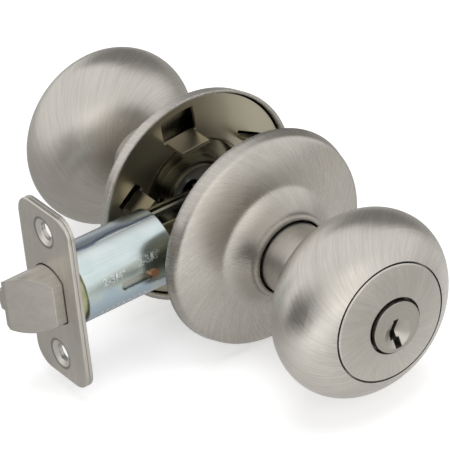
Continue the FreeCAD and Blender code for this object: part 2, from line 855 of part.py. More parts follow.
def pin_places():
    """Places of the five pin stacks in front of the knob's largest radius."""
    return [5.5 - size("pin_pitch") * number for number in range(5)]


def outward(name, radius, back, front):
    """A cylinder about the knobs' axis between two places in front of the outside knob."""
    return rod(name, "y", radius, Size.of(front) - back, y=from_knob(OUTSIDE, front))


def pin_hole(name, place_forward, low, high):
    """An upright chamber for one pin stack."""
    radius = size("pin_radius") + size("pin_clearance")
    return rod(name, "z", radius, Size.of(high) - low, y=from_knob(OUTSIDE, place_forward), z=low)


def cylinder_housing():
    """The housing: carrier flange, barrel and the block of pin chambers."""
    back = barrel_back()
    flange = outward("housing_flange", size("carrier_radius"), flange_front() - 1.4, flange_front())
    boss = outward("housing_boss", size("face_radius") - 0.9, flange_front() - 0.2, boss_front())
    barrel = outward("housing_barrel", size("barrel_radius"), back, flange_front() - 0.5)
    half = size("chamber_width") / 2
    chamber = block("housing_chamber", (-half, half),
                    (from_knob(OUTSIDE, flange_front() - 0.5), from_knob(OUTSIDE, back)),
                    (Size.of(0), size("chamber_height")))
    solid = fuse("housing_solid", [flange, boss, barrel, chamber])
    bore = outward("housing_bore", size("plug_radius") + size("running_gap"), back - 1, boss_front() + 1)
    tools = [bore]
    for number, forward in enumerate(pin_places(), start=1):
        tools.append(pin_hole(f"housing_pin_hole_{number}", forward, Size.of(5.0),
                              size("chamber_height") + 1))
    return cut("cylinder_housing", solid, tools)


def pin_cover():
    """The strip that closes the pin chambers."""
    half = size("chamber_width") / 2 - 0.5
    back = barrel_back() + 0.6
    return block("pin_cover", (-half, half),
                 (from_knob(OUTSIDE, Size.of(7.8)), from_knob(OUTSIDE, back)),
                 (size("chamber_height"), size("chamber_height") + 0.8))


def key_plug():
    """The plug: head, barrel, clip groove, keyway and pin holes."""
    front = plug_face()
    head_back = front - size("plug_head_height")
    back = plug_back()
    head = outward("plug_head", size("plug_head_radius"), head_back, front)
    barrel = outward("plug_barrel", size("plug_radius"), back, head_back + 0.5)
    solid = fuse("plug_solid", [head, barrel])
    groove_low = barrel_back() - 1.15
    groove_ring = outward("plug_groove_ring", size("plug_radius") + 1, groove_low,
                          barrel_back() - size("seat_gap"))
    groove_core = outward("plug_groove_core", size("plug_radius") - 0.95, groove_low - 1,
                          barrel_back() + 1)
    groove = cut("plug_groove", groove_ring, [groove_core])
    tools = [groove]
    y_front = from_knob(OUTSIDE, front + 1)
    y_back = from_knob(OUTSIDE, back + 1.2)
    ward_steps = [(-1.2, 0.5, -1.0, 2.7), (-1.8, 0.4, -4.2, -0.9), (-0.9, 1.1, -6.9, -4.1)]
    for number, (left, right, low, high) in enumerate(ward_steps, start=1):
        tools.append(block(f"keyway_{number}", (left, right), (y_front, y_back), (low, high)))
    funnel = DOC.addObject("Part::Cone", "plug_funnel")
    funnel.Placement = FreeCAD.Placement(VECTOR(), ALONG["y"])
    bind(funnel, "Radius1", size("funnel_radius"))
    funnel.Radius2 = 0.6
    bind(funnel, "Height", size("funnel_depth"))
    place(funnel, y=from_knob(OUTSIDE, front + 0.001), z=-size("funnel_drop"))
    tools.append(funnel)
    for number, forward in enumerate(pin_places(), start=1):
        tools.append(pin_hole(f"plug_pin_hole_{number}", forward, Size.of(-0.9), size("plug_radius") + 0.5))
    return cut("key_plug", solid, tools)


def plug_clip():
    """The C clip in the plug's groove: it keeps the plug in its housing."""
    back = barrel_back() - 1.1
    front = barrel_back() - size("seat_gap") - 0.05
    disc = outward("clip_disc", size("shank_bore") - 0.6, back, front)
    hole = outward("clip_hole", size("plug_radius") - 0.93, back - 1, front + 1)
    mouth = block("clip_mouth", (-2.2, 2.2),
                  (from_knob(OUTSIDE, front + 1), from_knob(OUTSIDE, back - 1)),
                  (-size("plug_radius") - 3, Size.of(0)))
    return cut("plug_clip", disc, [hole, mouth])


def plug_tail():
    """The deep cup on the plug's back: the locking bar's end lies in it."""
    plug_end = from_knob(OUTSIDE, plug_back())
    tail_end = from_seat(OUTSIDE, size("tail_end"))
    cup = rod("tail_cup", "y", size("tail_radius"), tail_end - plug_end, y=plug_end)
    floor = plug_end + 1.2
    hollow = rod("tail_hollow", "y", size("tail_bore"), tail_end - floor + 1, y=floor)
    return cut("plug_tail", cup, [hollow])


def key_pins():
    """Five pointed key pins, at the height that a key lifts them to."""
    top = size("plug_radius") - 0.25
    points = [-0.6, 0.4, -0.2, 0.8, 0.1]
    pins = []
    for number, (forward, low) in enumerate(zip(pin_places(), points), start=1):
        y = from_knob(OUTSIDE, forward)
        stem = rod(f"key_pin_{number}_stem", "z", size("pin_radius"), top - (low + 0.9), y=y, z=low + 0.9)
        tip = DOC.addObject("Part::Cone", f"key_pin_{number}_tip")
        tip.Radius1 = 0.45
        bind(tip, "Radius2", size("pin_radius"))
        tip.Height = 0.9
        place(tip, y=y, z=low)
        pins.append(fuse(f"key_pin_{number}", [stem, tip]))
    return group("key_pins", pins)


def driver_pins():
    """Five driver pins, just above the plug."""
    low = size("plug_radius") + size("shear_gap")
    pins = []
    for number, forward in enumerate(pin_places(), start=1):
        pins.append(rod(f"driver_pin_{number}", "z", size("pin_radius"), size("driver_length"),
                        y=from_knob(OUTSIDE, forward), z=low))
    return group("driver_pins", pins)


def pin_springs():
    """Five small springs between driver pins and cover."""
    low = size("plug_radius") + size("shear_gap") + size("driver_length") + 0.2
    height = size("chamber_height") - low - 0.2
    springs = []
    for number, forward in enumerate(pin_places(), start=1):
        spring = coil(f"pin_spring_{number}", "XZ_Plane", "V_Axis", (Size.of(1.1), low),
                      0.18, 0.8, height)
        place(spring, y=from_knob(OUTSIDE, forward))
        springs.append(spring)
    return group("pin_springs", springs)


# ---------------------------------------------------------------- turn button

def button_stem_back():
    """Place of the button stem's back in front of the inside knob's largest radius."""
    return flange_front() - 5.0


def button_bush():
    """The carrier in the inside knob with the button's bearing."""
    def high(forward):
        return size("knob_setback") + forward

    bore = size("button_radius") + size("running_gap")
    hub = size("bush_radius")
    flange = flange_front()
    outline = [
        (bore, high(flange - 4.0)),
        (hub, high(flange - 4.0)),
        (hub, high(flange - 1.4)),
        (size("carrier_radius"), high(flange - 1.4)),
        (size("carrier_radius"), high(flange)),
        (size("face_radius") - 0.9, high(flange)),
        (size("face_radius") - 0.9, high(boss_front())),
        (hub, high(boss_front())),
        (hub, face_edge() + size("face_crown")),
        (bore, face_edge() + size("face_crown")),
    ]
    return turned_part("button_bush", INSIDE, outline)


def turn_button():
    """The button: a round stem and a flat wing to turn it by."""
    stem_back = from_knob(INSIDE, button_stem_back())
    face = from_seat(INSIDE, face_edge() + size("face_crown") + 0.3)
    stem = rod("button_stem", "y", size("button_radius"), face - stem_back, y=stem_back)
    rim = rod("button_rim", "y", size("button_width") / 2, 1.4, y=face)
    half = size("button_width") / 2
    wing_disc = rod("wing_disc", "y", half, size("button_rise"), y=face)
    wing_slab = block("wing_slab", (-1.9, 1.9), (face, face + size("button_rise")), (-half, half))
    wing = common("button_wing", [wing_disc, wing_slab])
    return fuse("turn_button", [stem, rim, wing])


# ---------------------------------------------------------------- latch front

def plate_outline(sketch):
    """The rounded outline of the faceplate, in Y and Z."""
    half_y = size("faceplate_width") / 2
    half_z = size("faceplate_height") / 2
    corner = size("faceplate_corner")
    near = corner * round(1 - math.sqrt(0.5), 5)
    start = (-half_y + corner, -half_z)
    steps = [
        (half_y - corner, -half_z),
        ((half_y - near, -half_z + near), (half_y, -half_z + corner)),
        (half_y, half_z - corner),
        ((half_y - near, half_z - near), (half_y - corner, half_z)),
        (-half_y + corner, half_z),
        ((-half_y + near, half_z - near), (-half_y, half_z - corner)),
        (-half_y, -half_z + corner),
        ((-half_y + near, -half_z + near), start),
    ]
    draw_outline(sketch, start, steps)


def bolt_opening(name, front, back):
    """The hole for bolt and plunger: round, with a straight outside edge."""
    radius = size("bolt_radius") + size("bolt_gap")
    flat = size("bolt_outer_flat") + size("bolt_gap")
    round_part = rod(f"{name}_round", "x", radius, back - front, x=front)
    limits = radius + 1
    inner = block(f"{name}_inner", (front, back), (-flat, limits), (-limits, limits))
    return common(f"{name}_opening", [round_part, inner])


def round_face_edges(body, pad, name, x, radius):
    """Round every edge of the pad's face that lies at one place along the latch."""
    DOC.recompute()
    faces = []
    for number, face in enumerate(pad.Shape.Faces, start=1):
        if abs(face.CenterOfMass.x - x.value) < 1e-6:
            faces.append(f"Face{number}")
    rounded = body.newObject("PartDesign::Fillet", name)
    rounded.Base = (pad, faces)
    bind(rounded, "Radius", radius)
    return rounded


def flat_plate(label, front, wall, front_edge):
    """A rounded plate across the latch with the bolt's opening and two screw holes."""
    body = new_body(f"{label}_blank")
    sketch = new_sketch(body, "YZ_Plane", "outline", front)
    plate_outline(sketch)
    pad = body.newObject("PartDesign::Pad", f"{label}_pad")
    pad.Profile = sketch
    bind(pad, "Length", wall)
    eased = round_face_edges(body, pad, f"{label}_front_edge", front, front_edge)
    round_face_edges(body, eased, f"{label}_back_edge", front + wall, size("plate_seam_edge"))
    tools = [bolt_opening(label, front - 1, front + wall + 1)]
    for way in (-1, 1):
        tools.append(rod(f"{label}_hole_{way + 2}", "x", size("screw_hole_radius"), wall + 2,
                         x=front - 1, z=size("screw_spacing") / 2 * way))
    return body, tools


def latch_faceplate():
    front = -size("backset")
    body, tools = flat_plate("faceplate", front, size("faceplate_wall"), size("plate_front_edge"))
    for way in (-1, 1):
        sink = DOC.addObject("Part::Cone", f"sink_{way + 2}")
        sink.Placement = FreeCAD.Placement(VECTOR(), ALONG["x"])
        bind(sink, "Radius1", size("sink_radius"))
        bind(sink, "Radius2", size("screw_hole_radius"))
        bind(sink, "Height", size("sink_depth"))
        place(sink, x=front, z=size("screw_spacing") / 2 * way)
        tools.append(sink)
    return cut("latch_faceplate", body, tools)


def backplate_front():
    return -size("backset") + size("faceplate_wall") + size("plate_seam")


def latch_backplate():
    body, tools = flat_plate("backplate", backplate_front(), size("backplate_wall"), size("plate_seam_edge"))
    return cut("latch_backplate", body, tools)


def sleeve_bore():
    return size("tube_radius") - size("tube_wall") - size("sliding_gap") - size("sleeve_wall")


def latch_sleeve():
    """The inner sleeve behind the backplate: it slides in the tube to set the backset."""
    outer = sleeve_bore() + size("sleeve_wall")
    inner = sleeve_bore()
    front = backplate_front() + size("backplate_wall")
    back = -size("sleeve_back")
    sleeve = revolve("sleeve_turned", "H_Axis", (front, inner),
                     [(front, outer), (back, outer), (back, inner)])
    hole = rod("rivet_hole", "y", size("rivet_radius"), outer * 2 + 2,
               x=-size("rivet_place"), y=-outer - 1)
    return cut("latch_sleeve", sleeve, [hole])


def latch_tube():
    """The outer tube, with a slot on both sides for the backset rivets."""
    outer = size("tube_radius")
    inner = outer - size("tube_wall")
    front = -size("tube_front")
    back = -size("tube_back")
    tube = revolve("tube_turned", "H_Axis", (front, inner),
                   [(front, outer), (back, outer), (back, inner)])
    half = size("rivet_radius") + size("sliding_gap")
    right = -size("rivet_place")
    left = right - size("backset_travel")
    span = outer * 2 + 2
    slot_parts = [
        block("slot_middle", (left, right), (-outer - 1, outer + 1), (-half, half)),
        rod("slot_left", "y", half, span, x=left, y=-outer - 1),
        rod("slot_right", "y", half, span, x=right, y=-outer - 1),
        tube_seam(front, back),
    ]
    return cut("latch_tube", tube, slot_parts)


def tube_seam(front, back):
    """The gap where the rolled tube's edges meet, near its top."""
    half = size("seam_width") / 2
    gap = block("seam_gap", (front - 1, back + 1), (-half, half),
                (size("tube_radius") - 2, size("tube_radius") + 1))
    carrier = DOC.addObject("Part::Compound", "seam_turned")
    carrier.Links = [gap]
    carrier.Placement = FreeCAD.Placement(VECTOR(), FreeCAD.Rotation(VECTOR(1, 0, 0), 1))
    carrier.setExpression("Placement.Rotation.Angle", "Dims.seam_turn * 1deg")
    return carrier


def backset_rivets():
    """Two rivets on the sleeve that run in the tube's slots."""
    low = sleeve_bore() + 0.05
    high = size("tube_radius") + size("rivet_proud")
    near = rod("rivet_near", "y", size("rivet_radius"), high - low, x=-size("rivet_place"), y=-high)
    far = rod("rivet_far", "y", size("rivet_radius"), high - low, x=-size("rivet_place"), y=low)
    return group("backset_rivets", [near, far])


# ---------------------------------------------------------------- bolt, drawbar and retractor

def bolt_tip():
    return -size("backset") - size("bolt_throw")


def latch_bolt():
    """The bevelled spring bolt: round top and bottom, flat sides, with the plunger's lug behind."""
    tip = bolt_tip()
    back = -size("bolt_back")
    radius = size("bolt_radius")
    outer_flat = size("bolt_outer_flat")
    inner_flat = size("bolt_inner_flat")
    bar = rod("bolt_round", "x", radius, back - tip, x=tip)
    limits = radius + 1
    middle = block("bolt_middle", (tip, back), (-outer_flat, inner_flat), (-limits, limits))
    shaft = common("bolt_shaft", [bar, middle])
    lug_round = rod("lug_round", "x", radius, size("lug_wall"), x=back - size("lug_wall"))
    lug_side = block("lug_side", (back - size("lug_wall"), back), (Size.of(0), limits), (-limits, limits))
    lug = common("bolt_lug", [lug_round, lug_side])
    solid = fuse("bolt_solid", [shaft, lug])
    wedge = new_body("bolt_bevel")
    sketch = new_sketch(wedge, "XY_Plane", "bevel", -limits)
    bevel_start = -size("backset") - size("bolt_straight")
    land = inner_flat - size("bolt_land")
    slope = (land + outer_flat) / (bevel_start - tip)
    draw_outline(sketch, (bevel_start + 2, -outer_flat - slope * 2),
                 [(tip - 1, land + slope), (tip - 1, -outer_flat - slope * 2)])
    pad = wedge.newObject("PartDesign::Pad", "bevel_pad")
    pad.Profile = sketch
    bind(pad, "Length", limits * 2)
    half = size("tongue_width") / 2 + size("sliding_gap")
    half_wall = size("tongue_wall") / 2 + size("sliding_gap")
    slot = block("bolt_slot", (back - size("tongue_length") - 0.5, back + 1),
                 (-half_wall, half_wall), (-half, half))
    return cut("latch_bolt", solid, [wedge, slot])


def deadlatch_plunger():
    """The half-round plunger on the bolt's inside flat."""
    tip = bolt_tip() + size("plunger_shy")
    back = -size("plunger_back")
    low = size("bolt_inner_flat") + 0.15
    half = size("plunger_width") / 2
    bar = rod("plunger_round", "x", size("bolt_radius"), back - tip, x=tip)
    side = block("plunger_side", (tip, back), (low, size("bolt_radius") + 1), (-half, half))
    return common("deadlatch_plunger", [bar, side])


def drawbar():
    """The fork behind the bolt: two rails, each with a hook for a retractor arm."""
    back = -size("bolt_back") + size("seat_gap")
    base_end = back + size("rail_wall")
    near = size("rail_near")
    far = near + size("rail_wall")
    low = size("rail_low")
    high = size("rail_high")
    hook_left = -arm_reach() + size("arm_tip_radius") + size("hook_gap")
    tongue = size("tongue_width") / 2
    half_wall = size("tongue_wall") / 2
    pieces = [
        block("drawbar_base", (back, base_end), (-2.0, far), (-high, high)),
        block("drawbar_tongue", (back - size("tongue_length"), back),
              (-half_wall, half_wall), (-tongue, tongue)),
    ]
    for name, way in (("upper", 1), ("lower", -1)):
        rail_span = (low, high) if way == 1 else (-high, -low)
        hook_span = (high - 0.4, size("hook_height")) if way == 1 else (-size("hook_height"), 0.4 - high)
        pieces.append(block(f"rail_{name}", (back, size("rail_end")), (near, far), rail_span))
        pieces.append(block(f"hook_{name}_riser", (hook_left, hook_left + size("hook_width")),
                            (near, far), hook_span))
        dip = high - size("hook_dip")
        hook_face = (dip, size("hook_height")) if way == 1 else (-size("hook_height"), -dip)
        pieces.append(block(f"hook_{name}", (hook_left, hook_left + size("hook_width")),
                            (-size("arm_half_width"), far), hook_face))
    return fuse("drawbar", pieces)


def arm_reach():
    """How far the arm's tip lies in front of the knobs' axis at rest."""
    return size("arm_radius") * sine(size("arm_lean"))


def arm_rise():
    return size("arm_radius") * cosine(size("arm_lean"))


def retractor():
    """The hub that the spindle turns, with an arm for each way of turning."""
    gap = size("case_gap") - 0.2
    outer = size("case_gap") + size("case_wall")
    hub = rod("hub_middle", "y", size("hub_radius"), gap * 2, y=-gap)
    trunnion = rod("hub_trunnion", "y", size("trunnion_radius"), outer * 2, y=-outer)
    half = size("arm_half_width")
    pieces = [hub, trunnion]
    for name, way in (("upper", 1), ("lower", -1)):
        tip = rod(f"arm_{name}_tip", "y", size("arm_tip_radius"), half * 2,
                  x=-arm_reach(), y=-half, z=arm_rise() * way)
        lean = size("arm_lean")
        arm = DOC.addObject("Part::Box", f"arm_{name}")
        bind(arm, "Length", size("arm_tip_radius") * 2)
        bind(arm, "Width", half * 2)
        bind(arm, "Height", size("arm_radius"))
        place(arm, -size("arm_tip_radius"), -half, 0)
        turned = DOC.addObject("Part::Compound", f"arm_{name}_leaning")
        turned.Links = [arm]
        turned.Placement = FreeCAD.Placement(VECTOR(), FreeCAD.Rotation(VECTOR(0, 1, 0), -90))
        angle = -lean if way == 1 else lean - 180
        bind(turned, "Placement.Rotation.Angle", angle)
        turned.setExpression("Placement.Rotation.Angle", f"{angle.text} * 1deg")
        pieces += [tip, turned]
    solid = fuse("retractor_solid", pieces)
    hole = half_round_tool("retractor", -outer - 1, outer + 1, size("running_gap"))
    return cut("retractor", solid, [hole])


def case_plate(label, way):
    """One side plate of the latch case, with holes for the hub and the posts."""
    near = size("case_gap")
    far = near + size("case_wall")
    span = (near, far) if way == INSIDE else (-far, -near)
    low = span[0]
    plate = block(f"{label}_blank", (-size("case_front"), size("case_back")), span,
                  (-size("case_height"), size("case_height")))
    tools = [rod(f"{label}_hub_hole", "y", size("trunnion_radius") + size("running_gap"),
                 size("case_wall") + 2, y=low - 1)]
    for side in (-1, 1):
        tools.append(rod(f"{label}_post_hole_{side + 2}", "y", size("post_radius") + 0.3,
                         size("case_wall") + 2, x=size("post_spacing") / 2 * side, y=low - 1))
    return cut(label, plate, tools)


def cross_piece(label, front, half_height):
    """A cross piece between the case plates."""
    return block(label, (front, front + size("seat_wall")), (-size("case_gap"), size("case_gap")),
                 (-half_height, half_height))


def bolt_spring():
    """The spring between the drawbar's base and the spring seat."""
    start = -size("bolt_back") + size("rail_wall") + size("spring_wire") + 0.1
    length = -size("seat_place") - start - size("spring_wire") - 0.1
    centre = (start, size("spring_radius"))
    return coil("bolt_spring", "XZ_Plane", "H_Axis", centre, size("spring_wire"), length / 6, length)


def plunger_spring():
    """The spring between the plunger and the bolt's lug."""
    start = -size("plunger_back") + 0.25
    length = size("plunger_back") - size("bolt_back") - size("lug_wall") - 0.5
    spring = coil("plunger_spring", "XZ_Plane", "H_Axis", (start, Size.of(1.25)),
                  0.18, length / 5, length)
    place(spring, y=size("bolt_inner_flat") + 1.85)
    return spring


# ---------------------------------------------------------------- build

def build_all():
    """Make every piece and give back the nodes in a fixed order."""
    collar = size("bearing_radius") + size("sliding_gap")
    return [
        knob_shell("knob_outside_shell", OUTSIDE),
        knob_shank("knob_outside_shank", OUTSIDE),
        knob_face("knob_outside_face", OUTSIDE, size("plug_hole_radius")),
        cylinder_housing(),
        pin_cover(),
        key_plug(),
        plug_clip(),
        plug_tail(),
        key_pins(),
        driver_pins(),
        pin_springs(),
        spindle(),
        spindle_carrier(),
        rose("rose_outside", OUTSIDE, size("rose_band_outside")),
        plate_disc("mounting_plate_outside", OUTSIDE, collar, size("plate_radius_outside")),
        bearing_outside(),
        return_spring("return_spring_outside", OUTSIDE),
        retaining_ring("retaining_ring_outside", OUTSIDE),
        mounting_posts(),
        knob_shell("knob_inside_shell", INSIDE),
        knob_shank("knob_inside_shank", INSIDE),
        knob_face("knob_inside_face", INSIDE, size("bush_radius") + size("fixed_gap")),
        button_bush(),
        turn_button(),
        locking_bar(),
        spindle_driver(),
        rose_inside(),
        mounting_plate_inside(),
        spring_cup_inside(),
        return_spring("return_spring_inside", INSIDE),
        retaining_ring("retaining_ring_inside", INSIDE),
        mounting_screws(),
        latch_faceplate(),
        latch_backplate(),
        latch_sleeve(),
        latch_tube(),
        backset_rivets(),
        case_plate("case_plate_outside", OUTSIDE),
        case_plate("case_plate_inside", INSIDE),
        cross_piece("spring_seat", -size("seat_place"), size("rail_low") - 0.3),
        cross_piece("case_web", size("case_back") - size("seat_wall"), size("case_height")),
        retractor(),
        latch_bolt(),
        drawbar(),
        bolt_spring(),
        deadlatch_plunger(),
        plunger_spring(),
    ]


def check_objects(nodes):
    """Stop if any object failed or any node's shape isn't sound."""
    for thing in DOC.Objects:
        if "Invalid" in thing.State or "Error" in thing.State:
            raise RuntimeError(f"{thing.Name} failed: {thing.State}")
    for node in nodes:
        if node.Shape.isNull() or not node.Shape.isValid():
            raise RuntimeError(f"{node.Label} has no sound shape")


def export(nodes):
    os.makedirs("parts", exist_ok=True)
    for node in nodes:
        node.Shape.exportStep(f"parts/{node.Label}.step")


NODES = build_all()
DOC.recompute()
check_objects(NODES)
export(NODES)
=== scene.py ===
"""Looks of a keyed entry door knobset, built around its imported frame.

Each sub-assembly is a class: it dresses its own CAD nodes in procedural finishes and adds the
fine pieces that the solids leave out. Lengths are metres in the row frame: +Z up, +Y from the
key side to the room side, -X along the latch to the door's edge.
"""
import logging
import math
from dataclasses import dataclass, field
from enum import Enum
from typing import Iterable, Optional, Sequence, Union

import bmesh
import bpy
from mathutils import Matrix, Vector


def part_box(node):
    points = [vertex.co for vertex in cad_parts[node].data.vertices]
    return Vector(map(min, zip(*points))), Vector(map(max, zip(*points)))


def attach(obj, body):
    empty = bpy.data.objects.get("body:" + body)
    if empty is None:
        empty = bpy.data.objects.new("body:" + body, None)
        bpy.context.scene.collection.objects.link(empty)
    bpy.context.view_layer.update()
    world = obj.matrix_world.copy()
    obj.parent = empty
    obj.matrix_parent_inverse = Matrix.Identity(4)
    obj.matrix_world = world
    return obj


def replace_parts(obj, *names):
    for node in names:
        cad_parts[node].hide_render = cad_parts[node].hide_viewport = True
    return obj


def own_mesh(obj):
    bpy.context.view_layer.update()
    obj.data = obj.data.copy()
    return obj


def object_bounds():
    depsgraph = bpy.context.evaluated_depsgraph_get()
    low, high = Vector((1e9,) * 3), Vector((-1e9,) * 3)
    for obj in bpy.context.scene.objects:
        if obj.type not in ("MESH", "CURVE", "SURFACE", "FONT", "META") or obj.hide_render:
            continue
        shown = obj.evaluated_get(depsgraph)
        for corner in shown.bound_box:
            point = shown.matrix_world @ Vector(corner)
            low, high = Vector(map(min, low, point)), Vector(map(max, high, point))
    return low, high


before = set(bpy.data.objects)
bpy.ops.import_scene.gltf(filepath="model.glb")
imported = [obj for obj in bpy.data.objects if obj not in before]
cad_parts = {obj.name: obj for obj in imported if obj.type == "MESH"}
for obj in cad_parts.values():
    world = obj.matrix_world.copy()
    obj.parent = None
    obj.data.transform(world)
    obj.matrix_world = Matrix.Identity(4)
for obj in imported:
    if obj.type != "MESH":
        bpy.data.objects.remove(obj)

LOG = logging.getLogger("knobset")
START_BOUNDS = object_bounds()
MM = 0.001
MICRON = 0.000001
FULL_TURN = 360.0

Colour = tuple[float, float, float]
Limits = tuple[float, float]
Faces = list[tuple[int, ...]]
Socket = bpy.types.NodeSocket
Input = Union[Socket, float, Sequence[float]]


# --- shader graphs


class Brush(Enum):
    """The way a surface was brushed, turned or rolled."""

    SHELL = "slanting strokes over a round shell"
    DISH = "slanting strokes over a dished rose"
    LATHE = "fine rings about the knobs' axis"
    ALONG_X = "lines along the latch"
    ALONG_Z = "upright lines"
    CAST = "no direction"


class Graph:
    """A material's or world's node tree, with short ways to add and join nodes."""

    def __init__(self, tree: bpy.types.NodeTree) -> None:
        """Empty a tree and keep it to fill."""
        self.tree = tree
        tree.nodes.clear()

    def node(self, kind: str, **settings: object) -> bpy.types.Node:
        """Add a node.

        Args:
            kind: the node's class name.
            settings: attributes to set on it.

        Returns:
            The new node.
        """
        made = self.tree.nodes.new(kind)
        for name, value in settings.items():
            setattr(made, name, value)
        return made

    def put(self, target: Socket, value: Input) -> None:
        """Link a socket to an input, or set its constant.

        Args:
            target: the input socket.
            value: a socket to link, or a constant.
        """
        if isinstance(value, bpy.types.NodeSocket):
            self.tree.links.new(value, target)
        elif isinstance(value, (int, float)):
            target.default_value = value
        else:
            size = len(target.default_value)
            target.default_value = (tuple(value) + (1.0,))[:size]

    def math(self, operation: str, first: Input, second: Input = 0.0,
             clamp: bool = False) -> Socket:
        """Combine two numbers.

        Args:
            operation: the math node's operation.
            first: the first number.
            second: the second number.
            clamp: keep the result from 0 to 1.

        Returns:
            The result.
        """
        made = self.node("ShaderNodeMath", operation=operation, use_clamp=clamp)
        self.put(made.inputs[0], first)
        self.put(made.inputs[1], second)
        return made.outputs[0]

    def length(self, first: Socket, second: Socket) -> Socket:
        """Measure the line across two lengths at right angles.

        Args:
            first: the first length.
            second: the second length.

        Returns:
            The length of the line.
        """
        squares = [self.math("MULTIPLY", part, part) for part in (first, second)]
        return self.math("SQRT", self.math("ADD", *squares))

    def vector(self, operation: str, first: Input,
               second: Input = (0.0, 0.0, 0.0)) -> bpy.types.Node:
        """Combine two vectors.

        Args:
            operation: the vector math node's operation.
            first: the first vector.
            second: the second vector.

        Returns:
            The node, whose outputs are Vector and Value.
        """
        made = self.node("ShaderNodeVectorMath", operation=operation)
        self.put(made.inputs[0], first)
        self.put(made.inputs[1], second)
        return made

    def combine(self, x: Input, y: Input, z: Input) -> Socket:
        """Make a vector.

        Args:
            x: first part.
            y: second part.
            z: third part.

        Returns:
            The vector.
        """
        made = self.node("ShaderNodeCombineXYZ")
        for target, value in zip(made.inputs, (x, y, z)):
            self.put(target, value)
        return made.outputs[0]

    def noise(self, where: Input, scale: float, detail: float = 2.0,
              roughness: float = 0.5) -> Socket:
        """Add a noise texture.

        Args:
            where: its coordinates.
            scale: its scale.
            detail: its octaves.
            roughness: share of the finer octaves.

        Returns:
            The noise, about 0 to 1.
        """
        made = self.node("ShaderNodeTexNoise", noise_dimensions="3D")
        self.put(made.inputs["Vector"], where)
        made.inputs["Scale"].default_value = scale
        made.inputs["Detail"].default_value = detail
        made.inputs["Roughness"].default_value = roughness
        return made.outputs["Fac"]

    def span(self, value: Input, low: float, high: float, first: float = 0.0,
             last: float = 1.0) -> Socket:
        """Map a range of numbers smoothly to another and hold its ends.

        Args:
            value: the number to map.
            low: where the input range starts.
            high: where it ends.
            first: the result at its start.
            last: the result at its end.

        Returns:
            The mapped number.
        """
        made = self.node("ShaderNodeMapRange", interpolation_type="SMOOTHSTEP")
        limits = {"From Min": low, "From Max": high, "To Min": first, "To Max": last}
        for name, number in limits.items():
            made.inputs[name].default_value = number
        self.put(made.inputs["Value"], value)
        return made.outputs["Result"]

    def blend(self, amount: Input, first: Input, second: Input) -> Socket:
        """Mix two colours.

        Args:
            amount: share of the second.
            first: the first colour.
            second: the second colour.

        Returns:
            The mixed colour.
        """
        made = self.node("ShaderNodeMix", data_type="RGBA")
        self.put(made.inputs[0], amount)
        self.put(made.inputs[6], first)
        self.put(made.inputs[7], second)
        return made.outputs[2]

    def finish(self, kind: str, result: Socket) -> None:
        """Send the result to an output node of the given kind."""
        self.put(self.node(kind).inputs["Surface"], result)

    def bump(self, height: Input, depth: float, strength: float = 1.0,
             normal: Optional[Socket] = None) -> Socket:
        """Turn a height into a normal.

        Args:
            height: the height, 0 to 1.
            depth: real depth in metres.
            strength: share of the effect.
            normal: an earlier bump to add to.

        Returns:
            The normal.
        """
        made = self.node("ShaderNodeBump")
        made.inputs["Strength"].default_value = strength
        made.inputs["Distance"].default_value = depth
        self.put(made.inputs["Height"], height)
        if normal is not None:
            self.put(made.inputs["Normal"], normal)
        return made.outputs["Normal"]


class Surface(Graph):
    """A material's graph: where its shading point is, and the noises that wear it there."""

    along: Socket
    lines: Socket
    stain: Socket

    def __init__(self, tree: bpy.types.NodeTree) -> None:
        """Read the point in the object's own axes, which are the row frame's.

        Args:
            tree: the material's tree.
        """
        super().__init__(tree)
        self.point = self.node("ShaderNodeTexCoord").outputs["Object"]
        parts = self.node("ShaderNodeSeparateXYZ")
        self.put(parts.inputs[0], self.point)
        self.x, self.y, self.z = parts.outputs
        self.radius = self.length(self.x, self.z)


# How close the strokes lie for each unit of fineness, and the slope of a lathe's rings.
LINES_PER_FINENESS = 40.0
RINGS_PER_FINENESS = 60.0
GRAINS_PER_FINENESS = 12.0
RING_SLOPE = 0.83


